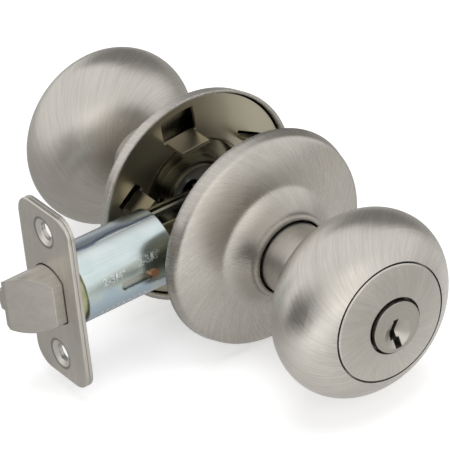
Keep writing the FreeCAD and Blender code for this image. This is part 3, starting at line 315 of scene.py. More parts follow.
@dataclass(frozen=True)
class Strokes:
    """Brush strokes on a surface: their direction, fineness and length.

    A shell's strokes wind round its centre, which lies on the knobs' axis; side is -1 for the key
    side and 1 for the room side. A dish's strokes turn by lean radians for each metre of radius.
    Angle is how far they lean from straight outwards, in degrees; highlights spread across them.
    """

    brush: Brush
    fineness: float = 125.0
    lean: float = 33.0
    run: float = 400.0
    centre: float = 0.0
    side: float = 1.0
    reach: float = 0.0225
    wind: Limits = (0.63, -0.72)
    angle: float = 0.0

    def around(self, graph: Surface) -> Socket:
        """Coordinates for strokes that lean across a turned surface.

        Args:
            graph: the surface's graph.

        Returns:
            Noise coordinates.
        """
        if self.brush is Brush.SHELL:
            forward = graph.math("SUBTRACT", graph.y, self.centre)
            forward = graph.math("MULTIPLY", forward, self.side)
            polar = graph.math("ARCTAN2", graph.radius, forward)
            steep = graph.math("ADD", graph.math("MULTIPLY", polar, self.wind[0]), self.wind[1])
            shift = graph.math("MULTIPLY", graph.math("MULTIPLY", polar, steep), self.side)
            along: Socket = graph.math("MULTIPLY", polar, self.reach)
        else:
            along = graph.radius
            shift = graph.math("MULTIPLY", along, self.lean)
        angle = graph.math("ADD", graph.math("ARCTAN2", graph.x, graph.z), shift)
        return graph.combine(
            graph.math("MULTIPLY", graph.math("COSINE", angle), self.fineness),
            graph.math("MULTIPLY", graph.math("SINE", angle), self.fineness),
            graph.math("MULTIPLY", along, self.run),
        )

    def where(self, graph: Surface) -> Socket:
        """Stretched coordinates in which plain noise looks like strokes.

        Args:
            graph: the surface's graph.

        Returns:
            Noise coordinates.
        """
        if self.brush in (Brush.SHELL, Brush.DISH):
            return self.around(graph)
        if self.brush is Brush.LATHE:
            angle = graph.math("ARCTAN2", graph.x, graph.z)
            rings = graph.math("ADD", graph.radius, graph.math("MULTIPLY", graph.y, RING_SLOPE))
            return graph.combine(
                graph.math("COSINE", angle),
                graph.math("SINE", angle),
                graph.math("MULTIPLY", rings, self.fineness * RINGS_PER_FINENESS),
            )
        across = self.fineness * LINES_PER_FINENESS
        stretch = {
            Brush.ALONG_X: (self.run, across, across),
            Brush.ALONG_Z: (across, across, self.run),
            Brush.CAST: (self.fineness * GRAINS_PER_FINENESS,) * 3,
        }[self.brush]
        return graph.vector("MULTIPLY", graph.point, stretch).outputs["Vector"]

    def tangent(self, graph: Surface) -> Optional[Socket]:
        """The direction of the strokes in world space, for stretched highlights.

        Args:
            graph: the surface's graph.

        Returns:
            The direction, or None where strokes have none.
        """
        if self.brush is Brush.CAST:
            return None
        if self.brush is Brush.ALONG_X:
            local = graph.combine(1.0, 0.0, 0.0)
        elif self.brush is Brush.ALONG_Z:
            local = graph.combine(0.0, 0.0, 1.0)
        else:
            local = graph.combine(graph.z, 0.0, graph.math("MULTIPLY", graph.x, -1.0))
        turn = graph.node("ShaderNodeVectorTransform", vector_type="VECTOR",
                          convert_from="OBJECT", convert_to="WORLD")
        graph.put(turn.inputs[0], local)
        return graph.vector("NORMALIZE", turn.outputs[0]).outputs["Vector"]


# How far the painted shade in nooks reaches, and the share of open sky at which it is full and
# gone.
NOOK = 1.2 * MM
NOOK_SKY: Limits = (0.35, 0.9)
# The parts of each noise's range over which it shows.
LINE_LIMITS: Limits = (0.25, 0.75)
SWEEP_LIMITS: Limits = (0.3, 0.7)
STAIN_LIMITS: Limits = (0.38, 0.68)
# Each noise's scale, octaves and share of the finer octaves.
LINE_NOISE = (1.0, 3.0, 0.62)
STAIN_NOISE = (3.0, 0.55)
SWEEP_SCALE = 0.28
PIT_SCALE = 5200.0
# Pits against the strokes' depth, and the roughness that a stain adds.
PIT_DEPTH = 0.25
PIT_STRENGTH = 0.6
STAIN_ROUGHNESS = 0.035


@dataclass(frozen=True)
class Metal:
    """A metal finish: its colour, gloss, strokes, stains and wear, and painted shade in its nooks.
    """

    name: str
    slot: str
    colour: Colour
    shade: Colour
    roughness: float
    strokes: Strokes
    grain: float = 0.05
    sweep: float = 0.03
    unevenness: float = 0.16
    edge: float = 0.0
    # How much painted shade darkens the nooks.
    nook_shade: float = 0.35
    depth: float = 4 * MICRON
    stretch: float = 0.0
    stains: float = 0.25
    stain_size: float = 70.0

    def tint(self, graph: Surface) -> Socket:
        """The base colour: stained between two tones, with darker strokes and painted shade in
        nooks.

        Args:
            graph: the surface's graph.

        Returns:
            The colour.
        """
        amount = graph.math("MULTIPLY", graph.stain, self.stains, clamp=True)
        mixed = graph.blend(amount, self.colour, self.shade)
        broad = graph.noise(graph.along, SWEEP_SCALE)
        value = graph.math(
            "MULTIPLY",
            graph.span(graph.lines, *LINE_LIMITS, 1.0 - self.grain, 1.0 + self.grain),
            graph.span(broad, *SWEEP_LIMITS, 1.0 - self.sweep, 1.0 + self.sweep),
        )
        # Painted shade: occlusion darkens the colour in nooks and crevices.
        nook = graph.node("ShaderNodeAmbientOcclusion", samples=8)
        nook.inputs["Distance"].default_value = NOOK
        unshaded = graph.span(nook.outputs["AO"], *NOOK_SKY, 1.0 - self.nook_shade, 1.0)
        value = graph.math("MULTIPLY", value, unshaded)
        return graph.vector("MULTIPLY", mixed, graph.combine(value, value, value)).outputs["Vector"]

    def normal(self, graph: Surface) -> Socket:
        """Rounded edges with raised strokes and fine pits over them.

        Args:
            graph: the surface's graph.

        Returns:
            The normal.
        """
        pits = graph.noise(graph.point, PIT_SCALE)
        rounded: Optional[Socket] = None
        if self.edge > 0.0:
            bevel = graph.node("ShaderNodeBevel", samples=6)
            bevel.inputs["Radius"].default_value = self.edge
            rounded = bevel.outputs["Normal"]
        brushed = graph.bump(graph.lines, self.depth, 1.0, rounded)
        return graph.bump(pits, self.depth * PIT_DEPTH, PIT_STRENGTH, brushed)

    def material(self) -> bpy.types.Material:
        """Build the finish, or give it back if it exists.

        Returns:
            The material.
        """
        known = bpy.data.materials.get(self.name)
        if known is not None:
            return known
        made = bpy.data.materials.new(self.name)
        made.use_nodes = True
        graph = Surface(made.node_tree)
        graph.along = self.strokes.where(graph)
        graph.lines = graph.noise(graph.along, *LINE_NOISE)
        stain = graph.noise(graph.point, self.stain_size, *STAIN_NOISE)
        graph.stain = graph.span(stain, *STAIN_LIMITS)
        shader = graph.node("ShaderNodeBsdfPrincipled")
        graph.put(shader.inputs["Base Color"], self.tint(graph))
        shader.inputs["Metallic"].default_value = 1.0
        uneven = graph.math("MULTIPLY", graph.math("SUBTRACT", graph.lines, 0.5), self.unevenness)
        rough = graph.math("ADD", self.roughness, uneven)
        dull_stain_and_neck_shade = graph.math("MULTIPLY", graph.stain, STAIN_ROUGHNESS)
        graph.put(shader.inputs["Roughness"], graph.math("ADD", rough, dull_stain_and_neck_shade, clamp=True))
        tangent = self.strokes.tangent(graph)
        if tangent is not None and self.stretch > 0.0:
            shader.inputs["Anisotropic"].default_value = self.stretch
            turn = -self.strokes.angle / FULL_TURN
            shader.inputs["Anisotropic Rotation"].default_value = turn % 1.0
            graph.put(shader.inputs["Tangent"], tangent)
        graph.put(shader.inputs["Normal"], self.normal(graph))
        graph.finish("ShaderNodeOutputMaterial", shader.outputs[0])
        return made


@dataclass(frozen=True)
class Band:
    """A band of colour round the tube; its limits are radians from the tube's seam."""

    rise: Limits
    fall: Limits
    strength: float

    def cover(self, graph: Graph, around: Socket) -> Socket:
        """How far the band covers what is under it.

        Args:
            graph: the graph to add to.
            around: the angle from the seam.

        Returns:
            The share, up to the band's strength.
        """
        rise = graph.span(around, *self.rise)
        return graph.math("MULTIPLY", rise, graph.span(around, *self.fall, self.strength, 0.0))


@dataclass(frozen=True)
class Passivated(Metal):
    """Zinc plate with the faint rainbow of a passivated surface, in bands along the latch, and a
    painted highlight, painted reflection and painted shadow along its seam.
    """

    reflected_blue: Colour = (0.47, 0.55, 0.65)
    seam_shadow: Colour = (0.19, 0.25, 0.33)
    seam_highlight: Colour = (0.84, 0.89, 0.89)
    green: Colour = (0.58, 0.70, 0.66)
    gold: Colour = (0.62, 0.68, 0.54)
    lake: Colour = (0.44, 0.56, 0.66)
    seam: float = 0.175
    wander: float = 0.10
    leaf_noise: tuple[float, float, float] = (190.0, 3.0, 0.6)
    leaf_cover: float = 0.55
    patch_size: float = 110.0
    patch_limits: Limits = (0.48, 0.74)
    patch_cover: float = 0.8
    underside: Limits = (1.35, 1.6)
    underside_cover: float = 0.75
    reflection_in_stains: float = 0.75
    # These three bands are painted light: a highlight line below the seam, a blue reflection above
    # it and shade along the seam.
    line: Band = Band((-0.1, 0.0), (0.05, 0.55), 0.75)
    reflection_band: Band = Band((-0.925, -0.525), (-0.02, 0.05), 0.85)
    seam_shadow_band: Band = Band((-0.14, -0.02), (0.0, 0.06), 0.9)

    def tint(self, graph: Surface) -> Socket:
        """A painted blue reflection above a painted seam shadow, a painted highlight line, then the
        rainbow's green, blue and straw.

        Args:
            graph: the surface's graph.

        Returns:
            The colour.
        """
        base = Metal.tint(self, graph)
        around = graph.math("ARCTAN2", graph.math("MULTIPLY", graph.y, -1.0), graph.z)
        around = graph.math("ADD", around, graph.math("MULTIPLY", graph.stain, self.wander))
        leaf = graph.noise(graph.point, *self.leaf_noise)
        mixed = graph.blend(graph.math("MULTIPLY", leaf, self.leaf_cover), base, self.green)
        below = graph.math("ABSOLUTE", around)
        below = graph.span(below, *self.underside, 0.0, self.underside_cover)
        patches = graph.noise(graph.point, self.patch_size)
        patches = graph.span(patches, *self.patch_limits, 0.0, self.patch_cover)
        mixed = graph.blend(below, mixed, graph.blend(patches, self.lake, self.gold))
        around = graph.math("SUBTRACT", around, self.seam)
        # Painted highlight, painted reflection and painted seam shadow.
        mixed = graph.blend(self.line.cover(graph, around), mixed, self.seam_highlight)
        faded = graph.span(graph.stain, 0.0, 1.0, 1.0, self.reflection_in_stains)
        reflection_band = graph.math("MULTIPLY", self.reflection_band.cover(graph, around), faded)
        mixed = graph.blend(reflection_band, mixed, self.reflected_blue)
        return graph.blend(self.seam_shadow_band.cover(graph, around), mixed, self.seam_shadow)


@dataclass(frozen=True)
class Dichromate(Metal):
    """Yellow zinc plate that is rubbed grey away from the sleeve's front end."""

    rubbed: Colour = (0.50, 0.50, 0.45)
    yellow_to: float = 1.475 * MM
    grey_from: float = 6.475 * MM
    cover: float = 0.9

    def tint(self, graph: Surface) -> Socket:
        """Yellow-green at the front, grey behind.

        Args:
            graph: the surface's graph.

        Returns:
            The colour.
        """
        base = Metal.tint(self, graph)
        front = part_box("latch_sleeve")[0].x
        limits = front + self.yellow_to, front + self.grey_from
        grey = graph.span(graph.x, *limits, 0.0, self.cover)
        return graph.blend(grey, base, self.rubbed)


@dataclass(frozen=True)
class Collared(Metal):
    """A rose's finish, with painted shade that makes its neck darker and browner than its dome,
    most on the latch's side.
    """

    # The neck's painted shade: its colour, where it starts and ends, and the side where it is
    # strongest.
    dull_stain_and_neck_shade: Colour = (0.30, 0.275, 0.235)
    collar: float = 15.0 * MM
    neck: float = 18.6 * MM
    blur: float = 1.2 * MM
    shade_side: Limits = (-14.0 * MM, 6.0 * MM)
    shade_side_slope: float = 0.3
    cover: float = 0.8
    least: float = 0.15

    def tint(self, graph: Surface) -> Socket:
        """Painted shade, darker towards the collar.

        Args:
            graph: the surface's graph.

        Returns:
            The colour.
        """
        base = Metal.tint(self, graph)
        # Painted shade on the neck, strongest on the latch's side.
        radius = graph.math("ADD", graph.radius, graph.math("MULTIPLY", graph.lines, self.blur))
        amount = graph.span(radius, self.collar, self.neck + self.blur, self.cover, 0.0)
        side = graph.math("SUBTRACT", graph.x, graph.math("MULTIPLY", graph.z, self.shade_side_slope))
        shade_side = graph.span(side, *self.shade_side, 1.0, self.least)
        return graph.blend(graph.math("MULTIPLY", amount, shade_side), base, self.dull_stain_and_neck_shade)


@dataclass(frozen=True)
class Dimpled(Metal):
    """The faceplate's finish, with a painted highlight and a painted shadow ring round each screw
    hole.
    """

    spacing: float = 0.0
    sink: float = 4.4 * MM
    rim: float = 0.4 * MM
    sink_highlight: Colour = (0.80, 0.78, 0.73)
    shadow: Colour = (0.20, 0.185, 0.16)
    sink_highlight_cover: float = 0.85
    shadow_cover: float = 0.8

    def tint(self, graph: Surface) -> Socket:
        """A painted shadow line at the edge of each countersink and a painted highlight inside it.

        Args:
            graph: the surface's graph.

        Returns:
            The colour.
        """
        base = Metal.tint(self, graph)
        up = graph.math("SUBTRACT", graph.math("ABSOLUTE", graph.z), self.spacing / 2.0)
        away = graph.length(up, graph.y)
        inner, outer = self.sink - self.rim, self.sink + self.rim / 2.0
        # Painted highlight inside each countersink and a painted shadow line at its edge.
        inside = graph.span(away, inner, self.sink, self.sink_highlight_cover, 0.0)
        inside = graph.blend(inside, base, self.sink_highlight)
        line = graph.math("MULTIPLY", graph.span(away, inner, self.sink, 0.0, self.shadow_cover),
                          graph.span(away, outer, outer + 1.5 * self.rim, 1.0, 0.0))
        return graph.blend(line, inside, self.shadow)


# Between the faceplate's screw holes.
SCREW_SPACING = 41.275 * MM
NICKEL: Colour = (0.585, 0.558, 0.512)
NICKEL_SHADE: Colour = (0.50, 0.474, 0.43)
ROSE_NICKEL: Colour = (0.535, 0.508, 0.463)
ROSE_SHADE: Colour = (0.42, 0.394, 0.353)


def nickel(name: str, strokes: Strokes, roughness: float = 0.29, **settings: float) -> Metal:
    """Satin nickel with the given strokes and other fields of the finish."""
    return Metal(name, "satin_nickel", NICKEL, NICKEL_SHADE, roughness, strokes, **settings)


def shell_nickel(name: str, node: str, side: float, angle: float) -> Metal:
    """Satin nickel brushed round the middle of a knob's shell.

    Args:
        name: the material's name.
        node: the shell's CAD node.
        side: -1 for the key side and 1 for the room side.
        angle: how far its strokes lean from straight outwards, in degrees.

    Returns:
        The finish.
    """
    low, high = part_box(node)
    strokes = Strokes(Brush.SHELL, centre=(low.y + high.y) / 2.0, side=side, angle=angle)
    return nickel(name, strokes, grain=0.08, sweep=0.06, depth=34 * MICRON, stretch=0.7)


def rose_nickel(name: str, lean: float) -> Collared:
    """Darker satin nickel for a rose, brushed with the given lean, with painted shade on its neck.
    """
    return Collared(name, "satin_nickel", ROSE_NICKEL, ROSE_SHADE, 0.27,
                    Strokes(Brush.DISH, lean=lean, angle=-40.0), grain=0.07, sweep=0.05,
                    edge=1.8 * MM, depth=28 * MICRON, stretch=0.7)


class Finishes:
    """Every finish of the knobset."""

    shell_outside = shell_nickel("nickel_shell_outside", "knob_outside_shell", -1.0, 33.0)
    shell_inside = shell_nickel("nickel_shell_inside", "knob_inside_shell", 1.0, 52.0)
    rose_outside = rose_nickel("nickel_rose_outside", 33.0)
    rose_inside = rose_nickel("nickel_rose_inside", -33.0)
    face = nickel("nickel_face", Strokes(Brush.DISH, 90.0, 20.0, angle=-20.0), grain=0.06,
                  sweep=0.05, edge=0.3 * MM, depth=14 * MICRON, stretch=0.6)
    shank = nickel("nickel_shank", Strokes(Brush.LATHE, 40.0), 0.34, grain=0.04, stains=0.9,
                   stain_size=180.0)
    plate = nickel("nickel_plate", Strokes(Brush.ALONG_Z, 60.0, run=60.0), 0.33,
                   depth=5 * MICRON, edge=0.3 * MM)
    faceplate = Dimpled("nickel_faceplate", "satin_nickel", (0.64, 0.612, 0.56),
                        (0.52, 0.495, 0.45), 0.31, Strokes(Brush.ALONG_Z, 60.0, run=60.0),
                        depth=5 * MICRON, edge=0.3 * MM, stains=0.6, stain_size=55.0,
                        spacing=SCREW_SPACING)
    bolt = nickel("nickel_bolt", Strokes(Brush.ALONG_X, 55.0, run=70.0), 0.36,
                  depth=5 * MICRON, edge=0.4 * MM)
    plug = Metal("nickel_plug", "plug_nickel", (0.50, 0.475, 0.43), (0.43, 0.41, 0.37), 0.34,
                 Strokes(Brush.LATHE, 45.0), grain=0.04, depth=3 * MICRON, edge=0.3 * MM)
    bronze = Metal("dark_dichromate", "bronze_plate", (0.50, 0.46, 0.36), (0.36, 0.32, 0.23), 0.31,
                   Strokes(Brush.CAST, 6.0), grain=0.03, sweep=0.0, unevenness=0.04,
                   edge=0.2 * MM, depth=MICRON, stains=0.35, stain_size=45.0)
    # A darker copy of the bronze plate, for the parts set deep inside: painted shade.
    shaded_bronze = Metal("dichromate_painted_shade", "bronze_plate", (0.26, 0.245, 0.18),
                        (0.15, 0.14, 0.10), 0.22, Strokes(Brush.LATHE, 30.0), sweep=0.0,
                        unevenness=0.05, edge=0.2 * MM, depth=MICRON, stains=0.5, stain_size=60.0)
    zinc = Passivated("zinc_tube", "zinc_plate", (0.68, 0.76, 0.77), (0.54, 0.64, 0.66), 0.22,
                      Strokes(Brush.ALONG_X, 45.0, run=60.0), edge=0.4 * MM, stains=0.6)
    zinc_flat = Metal("zinc_flat", "zinc_plate", (0.56, 0.58, 0.56), (0.44, 0.46, 0.42), 0.28,
                      Strokes(Brush.ALONG_X, 40.0, run=70.0), grain=0.06, stains=0.6)
    yellow = Dichromate("yellow_dichromate", "yellow_zinc", (0.60, 0.58, 0.32),
                        (0.42, 0.42, 0.24), 0.28, Strokes(Brush.ALONG_X, 45.0, run=60.0),
                        grain=0.06, stains=0.8, stain_size=120.0)
    # A brighter copy of the tube's zinc: painted highlight on the raised marks and dots.
    mark = Metal("zinc_mark_painted_highlight", "zinc_plate", (0.80, 0.84, 0.83), (0.62, 0.67, 0.66), 0.30,
                 Strokes(Brush.CAST, 60.0), grain=0.04, nook_shade=0.2, stains=0.3)
    copper = Metal("copper_rivet", "copper_rivet", (0.66, 0.36, 0.22), (0.44, 0.25, 0.16), 0.30,
                   Strokes(Brush.CAST, 60.0), edge=0.2 * MM, stains=0.5)
    spring = Metal("spring_wire", "spring_steel", (0.42, 0.42, 0.41), (0.28, 0.27, 0.25), 0.30,
                   Strokes(Brush.CAST, 70.0), grain=0.06, stains=0.5)
    cast = Metal("die_cast_zinc", "die_cast_zinc", (0.40, 0.40, 0.385), (0.28, 0.28, 0.27), 0.42,
                 Strokes(Brush.CAST, 50.0), grain=0.07, depth=10 * MICRON, stains=0.6)
    brass = Metal("turned_brass", "pin_brass", (0.80, 0.62, 0.32), (0.60, 0.45, 0.22), 0.28,
                  Strokes(Brush.LATHE, 35.0), stains=0.5)
    screw = Metal("screw_zinc", "screw_zinc", (0.62, 0.63, 0.60), (0.46, 0.47, 0.43), 0.25,
                  Strokes(Brush.CAST, 60.0), grain=0.06, stains=0.5)


# --- meshes


def dress(node: str, finish: Metal) -> None:
    """Give a CAD node its finish.

    Args:
        node: the node's name.
        finish: what it is finished in.
    """
    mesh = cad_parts[node].data
    mesh.materials.clear()
    mesh.materials.append(finish.material())
    LOG.info("dressed %s in %s", node, finish.name)


def add(name: str, data: bpy.types.ID) -> bpy.types.Object:
    """Put a mesh, a lamp or a camera into the scene.

    Args:
        name: the object's name.
        data: what it shows.

    Returns:
        The object.
    """
    made = bpy.data.objects.new(name, data)
    bpy.context.scene.collection.objects.link(made)
    return made


def sheet(name: str, width: float, depth: float, paper: bpy.types.Material) -> bpy.types.Object:
    """Make a flat sheet about its own origin.

    Args:
        name: the sheet's name.
        width: its size along X.
        depth: its size along Y.
        paper: what it is made of.

    Returns:
        The sheet.
    """
    x, y = width / 2.0, depth / 2.0
    mesh = bpy.data.meshes.new(name)
    mesh.from_pydata([(-x, -y, 0.0), (x, -y, 0.0), (x, y, 0.0), (-x, y, 0.0)], [], [(0, 1, 2, 3)])
    mesh.materials.append(paper)
    return add(name, mesh)


def new_piece(name: str, points: Iterable[Vector], faces: Faces, finish: Metal, body: str,
              smooth: bool = True) -> bpy.types.Object:
    """Make a mesh piece that rides on a CAD body.

    Args:
        name: the piece's name.
        points: its corners in the row frame.
        faces: its faces.
        finish: what it is finished in.
        body: the CAD body it moves with.
        smooth: shade it smooth.

    Returns:
        The piece.
    """
    mesh = bpy.data.meshes.new(name)
    mesh.from_pydata([tuple(point) for point in points], [], faces)
    mesh.validate()
    if smooth:
        mesh.shade_smooth()
    mesh.materials.append(finish.material())
    piece = add(name, mesh)
    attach(piece, body)
    LOG.info("built %s on %s", name, body)
    return piece


def rod_faces(rows: int, sides: int) -> Faces:
    """Faces of a rod whose points are laid in closed rows, with both ends filled.

    Args:
        rows: how many rows.
        sides: points in a row.

    Returns:
        The faces.
    """
    faces: Faces = []
    for row in range(rows - 1):
        here = row * sides
        for side in range(sides):
            after = (side + 1) % sides
            faces.append((here + side, here + after, here + sides + after, here + sides + side))
    last = (rows - 1) * sides
    return [*faces, tuple(reversed(range(sides))), tuple(range(last, last + sides))]


@dataclass(frozen=True)
class Wire:
    """A round wire swept along a path."""

    radius: float
    sides: int = 12

    def sweep(self, path: Sequence[Vector]) -> tuple[list[Vector], Faces]:
        """Sweep the wire.

        Args:
            path: points of its centreline.

        Returns:
            Corners and faces, closed at both ends.
        """
        points: list[Vector] = []
        side = Vector((0.0, 0.0, 1.0))
        for index, centre in enumerate(path):
            ahead = path[min(index + 1, len(path) - 1)] - path[max(index - 1, 0)]
            ahead.normalize()
            side = (side - ahead * side.dot(ahead)).normalized()
            other = ahead.cross(side)
            for step in range(self.sides):
                angle = 2.0 * math.pi * step / self.sides
                out = side * math.cos(angle) + other * math.sin(angle)
                points.append(centre + out * self.radius)
        return points, rod_faces(len(path), self.sides)


@dataclass(frozen=True)
class Coil:
    """A compression spring along the latch, wound closer at its ends.

    Travel, what it would shorten by over its joint's range with a slight squeeze to spare, is not
    used.
    """

    node: str
    body: str
    joint: str
    travel: float
    wire: float
    turns: float = 7.0
    points_per_turn: int = 36
    closing: float = 0.055

    def path(self, low: Vector, high: Vector) -> list[Vector]:
        """The wire's centreline inside the CAD spring's box.

        Args:
            low: the box's lowest corner.
            high: its highest corner.

        Returns:
            Points of the line.
        """
        mean = (high.z - low.z) / 2.0 - self.wire
        centre_y, centre_z = (low.y + high.y) / 2.0, (low.z + high.z) / 2.0
        start, end = low.x + self.wire, high.x - self.wire
        steps = int(self.turns * self.points_per_turn)
        points = []
        for step in range(steps + 1):
            share = step / steps
            angle = 2.0 * math.pi * self.turns * share
            pressed = share - self.closing * math.sin(2.0 * math.pi * share)
            points.append(Vector((start + (end - start) * pressed,
                                  centre_y + mean * math.cos(angle),
                                  centre_z + mean * math.sin(angle))))
        return points

    def build(self) -> None:
        """Make the spring."""
        low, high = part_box(self.node)
        points, faces = Wire(self.wire).sweep(self.path(low, high))
        piece = new_piece(f"{self.node}_coil", points, faces, Finishes.spring, self.body)
        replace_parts(piece, self.node)
        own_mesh(piece)


@dataclass(frozen=True)
class ScrewThread:
    """A threaded machine screw with a pan head and a cross recess.

    The head's profile gives shares of its radius and height, from the stem round to the middle.
    """

    name: str
    x: float
    start: float
    head: float
    crest: float = 2.05 * MM
    depth: float = 0.34 * MM
    pitch: float = 0.8 * MM
    head_radius: float = 2.9 * MM
    head_height: float = 1.2 * MM
    stem_sides: int = 28
    rows_per_turn: int = 10
    head_sides: int = 64
    profile: tuple[Limits, ...] = (
        (0.4, 0.0), (1.0, 0.0), (1.0, 0.45), (0.93, 0.78), (0.78, 0.95), (0.62, 1.0),
        (0.46, 1.0), (0.30, 1.0), (0.16, 1.0), (0.04, 1.0))
    recess_reach: float = 0.6
    recess_width: float = 0.11
    recess_level: float = 0.45

    def stem(self) -> tuple[list[Vector], Faces]:
        """The threaded stem.

        Returns:
            Corners and faces.
        """
        length = self.head - self.start
        rows = int(length / self.pitch * self.rows_per_turn) + 1
        points = []
        for row in range(rows):
            y = self.start + length * row / (rows - 1)
            turns = row / self.rows_per_turn
            for side in range(self.stem_sides):
                share = (turns - side / self.stem_sides) % 1.0
                crest = 1.0 - abs(2.0 * share - 1.0)
                radius = self.crest - self.depth * (1.0 - crest * min(1.0, turns))
                angle = 2.0 * math.pi * side / self.stem_sides
                x, z = radius * math.sin(angle), radius * math.cos(angle)
                points.append(Vector((self.x + x, y, z)))
        return points, rod_faces(rows, self.stem_sides)

    def cap(self) -> tuple[list[Vector], Faces]:
        """The pan head, with a cross recess.

        Returns:
            Corners and faces.
        """
        points = []
        for share, rise in self.profile:
            for side in range(self.head_sides):
                angle = 2.0 * math.pi * side / self.head_sides
                x, z = math.sin(angle) * share, math.cos(angle) * share
                in_cross = share < self.recess_reach and min(abs(x), abs(z)) < self.recess_width
                level = self.recess_level if rise == 1.0 and in_cross else rise
                points.append(Vector((self.x + x * self.head_radius,
                                      self.head + level * self.head_height,
                                      z * self.head_radius)))
        return points, rod_faces(len(self.profile), self.head_sides)

    def build(self) -> bpy.types.Object:
        """Make the screw on the inside half.

        Returns:
            The screw.
        """
        points, faces = self.stem()
        more, caps = self.cap()
        faces += [tuple(i + len(points) for i in face) for face in caps]
        points += more
        return new_piece(self.name, points, faces, Finishes.screw, "inside_set", smooth=False)


# --- marks on the tube


def tube_shape() -> tuple[float, float]:
    """The latch tube's front end along X and its outer radius."""
    low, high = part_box("latch_tube")
    return low.x, (high.z - low.z) / 2.0


@dataclass(frozen=True)
class TubeMark:
    """Raised characters that follow the latch tube's round side.

    Inset is how far they start behind the tube's front end. Cap is a letter's height as a share
    of its font size. The rise goes to both sides of the letters' plane, and half of it stays.
    """

    name: str
    text: str
    inset: float
    angle: float
    height: float = 2.3 * MM
    rise: float = 0.36 * MM
    weight: float = 0.09 * MM
    cap: float = 0.72
    longest_edge: float = 0.4 * MM
    kept_rise: float = 0.5
    curve_steps: int = 3

    def flat(self) -> bpy.types.Mesh:
        """The characters as a flat mesh, cut finely enough to bend.

        Returns:
            The mesh.
        """
        curve = bpy.data.curves.new(self.name, "FONT")
        curve.body = self.text
        curve.size = self.height / self.cap
        curve.extrude = self.rise
        curve.offset = self.weight
        curve.resolution_u = self.curve_steps
        holder = add(f"{self.name}_flat", curve)
        bpy.context.view_layer.update()
        graph = bpy.context.evaluated_depsgraph_get()
        mesh = bpy.data.meshes.new_from_object(holder.evaluated_get(graph))
        bpy.data.objects.remove(holder)
        work = bmesh.new()
        work.from_mesh(mesh)
        bmesh.ops.triangulate(work, faces=work.faces)
        long_edges = [edge for edge in work.edges if edge.calc_length() > self.longest_edge]
        bmesh.ops.subdivide_edges(work, edges=long_edges, cuts=2)
        work.to_mesh(mesh)
        work.free()
        return mesh

    def build(self) -> None:
        """Wrap the characters round the tube."""
        front, radius = tube_shape()
        mesh = self.flat()
        centre = math.radians(self.angle)
        points = []
        for vertex in mesh.vertices:
            around = centre + (vertex.co.y - self.height / 2.0) / radius
            out = radius + vertex.co.z * self.kept_rise
            points.append(Vector((front + self.inset + vertex.co.x,
                                  -out * math.cos(around), out * math.sin(around))))
        faces = [tuple(polygon.vertices) for polygon in mesh.polygons]
        new_piece(self.name, points, faces, Finishes.mark, "outside_set", smooth=False)
        bpy.data.meshes.remove(mesh)


@dataclass(frozen=True)
class Knurl:
    """A row of small raised dots pressed into the tube, from start to end behind its front."""

    name: str = "tube_dots"
    start: float = 4.7 * MM
    end: float = 21.2 * MM
    count: int = 9
    angle: float = -32.0
    dot: float = 0.42 * MM
    sides: int = 8
    sunk: float = 0.02 * MM
    height: float = 0.2 * MM

    def build(self) -> None:
        """Make all dots as one piece."""
        front, radius = tube_shape()
        around = math.radians(self.angle)
        out = Vector((0.0, -math.cos(around), math.sin(around)))
        side = Vector((0.0, math.sin(around), math.cos(around)))
        along = Vector((1.0, 0.0, 0.0))
        points: list[Vector] = []
        faces: Faces = []
        for dot in range(self.count):
            place = along * (front + self.start + (self.end - self.start) * dot / self.count)
            first = len(points)
            for step in range(self.sides):
                turn = 2.0 * math.pi * step / self.sides
                rim = along * math.cos(turn) + side * math.sin(turn)
                points.append(place + out * (radius - self.sunk) + rim * self.dot)
            points.append(place + out * (radius + self.height))
            faces += [(first + step, first + (step + 1) % self.sides, first + self.sides)
                      for step in range(self.sides)]
        new_piece(self.name, points, faces, Finishes.mark, "outside_set")


# --- sub-assemblies


@dataclass(frozen=True)
class SubAssembly:
    """A group of pieces that belong together, with the finish of each CAD node."""

    finishes: dict[str, Metal]

    def build(self) -> None:
        """Dress every CAD node of the group."""
        for node, finish in self.finishes.items():
            dress(node, finish)


@dataclass(frozen=True)
class OutsideHalf(SubAssembly):
    """Knob, rose and bearing on the key side."""

    finishes: dict[str, Metal] = field(default_factory=lambda: {
        "knob_outside_shell": Finishes.shell_outside,
        "knob_outside_shank": Finishes.shank,
        "knob_outside_face": Finishes.face,
        "rose_outside": Finishes.rose_outside,
        "mounting_plate_outside": Finishes.bronze,
        "bearing_outside": Finishes.bronze,
        "return_spring_outside": Finishes.spring,
        "retaining_ring_outside": Finishes.spring,
        "mounting_posts": Finishes.zinc_flat,
        "spindle_carrier": Finishes.cast,
        "spindle": Finishes.zinc_flat,
    })


@dataclass(frozen=True)
class KeyCylinder(SubAssembly):
    """Housing, plug and tumblers in the outside knob."""

    finishes: dict[str, Metal] = field(default_factory=lambda: {
        "cylinder_housing": Finishes.cast,
        "pin_cover": Finishes.brass,
        "key_plug": Finishes.plug,
        "plug_clip": Finishes.spring,
        "plug_tail": Finishes.cast,
        "key_pins": Finishes.brass,
        "driver_pins": Finishes.brass,
        "pin_springs": Finishes.spring,
    })


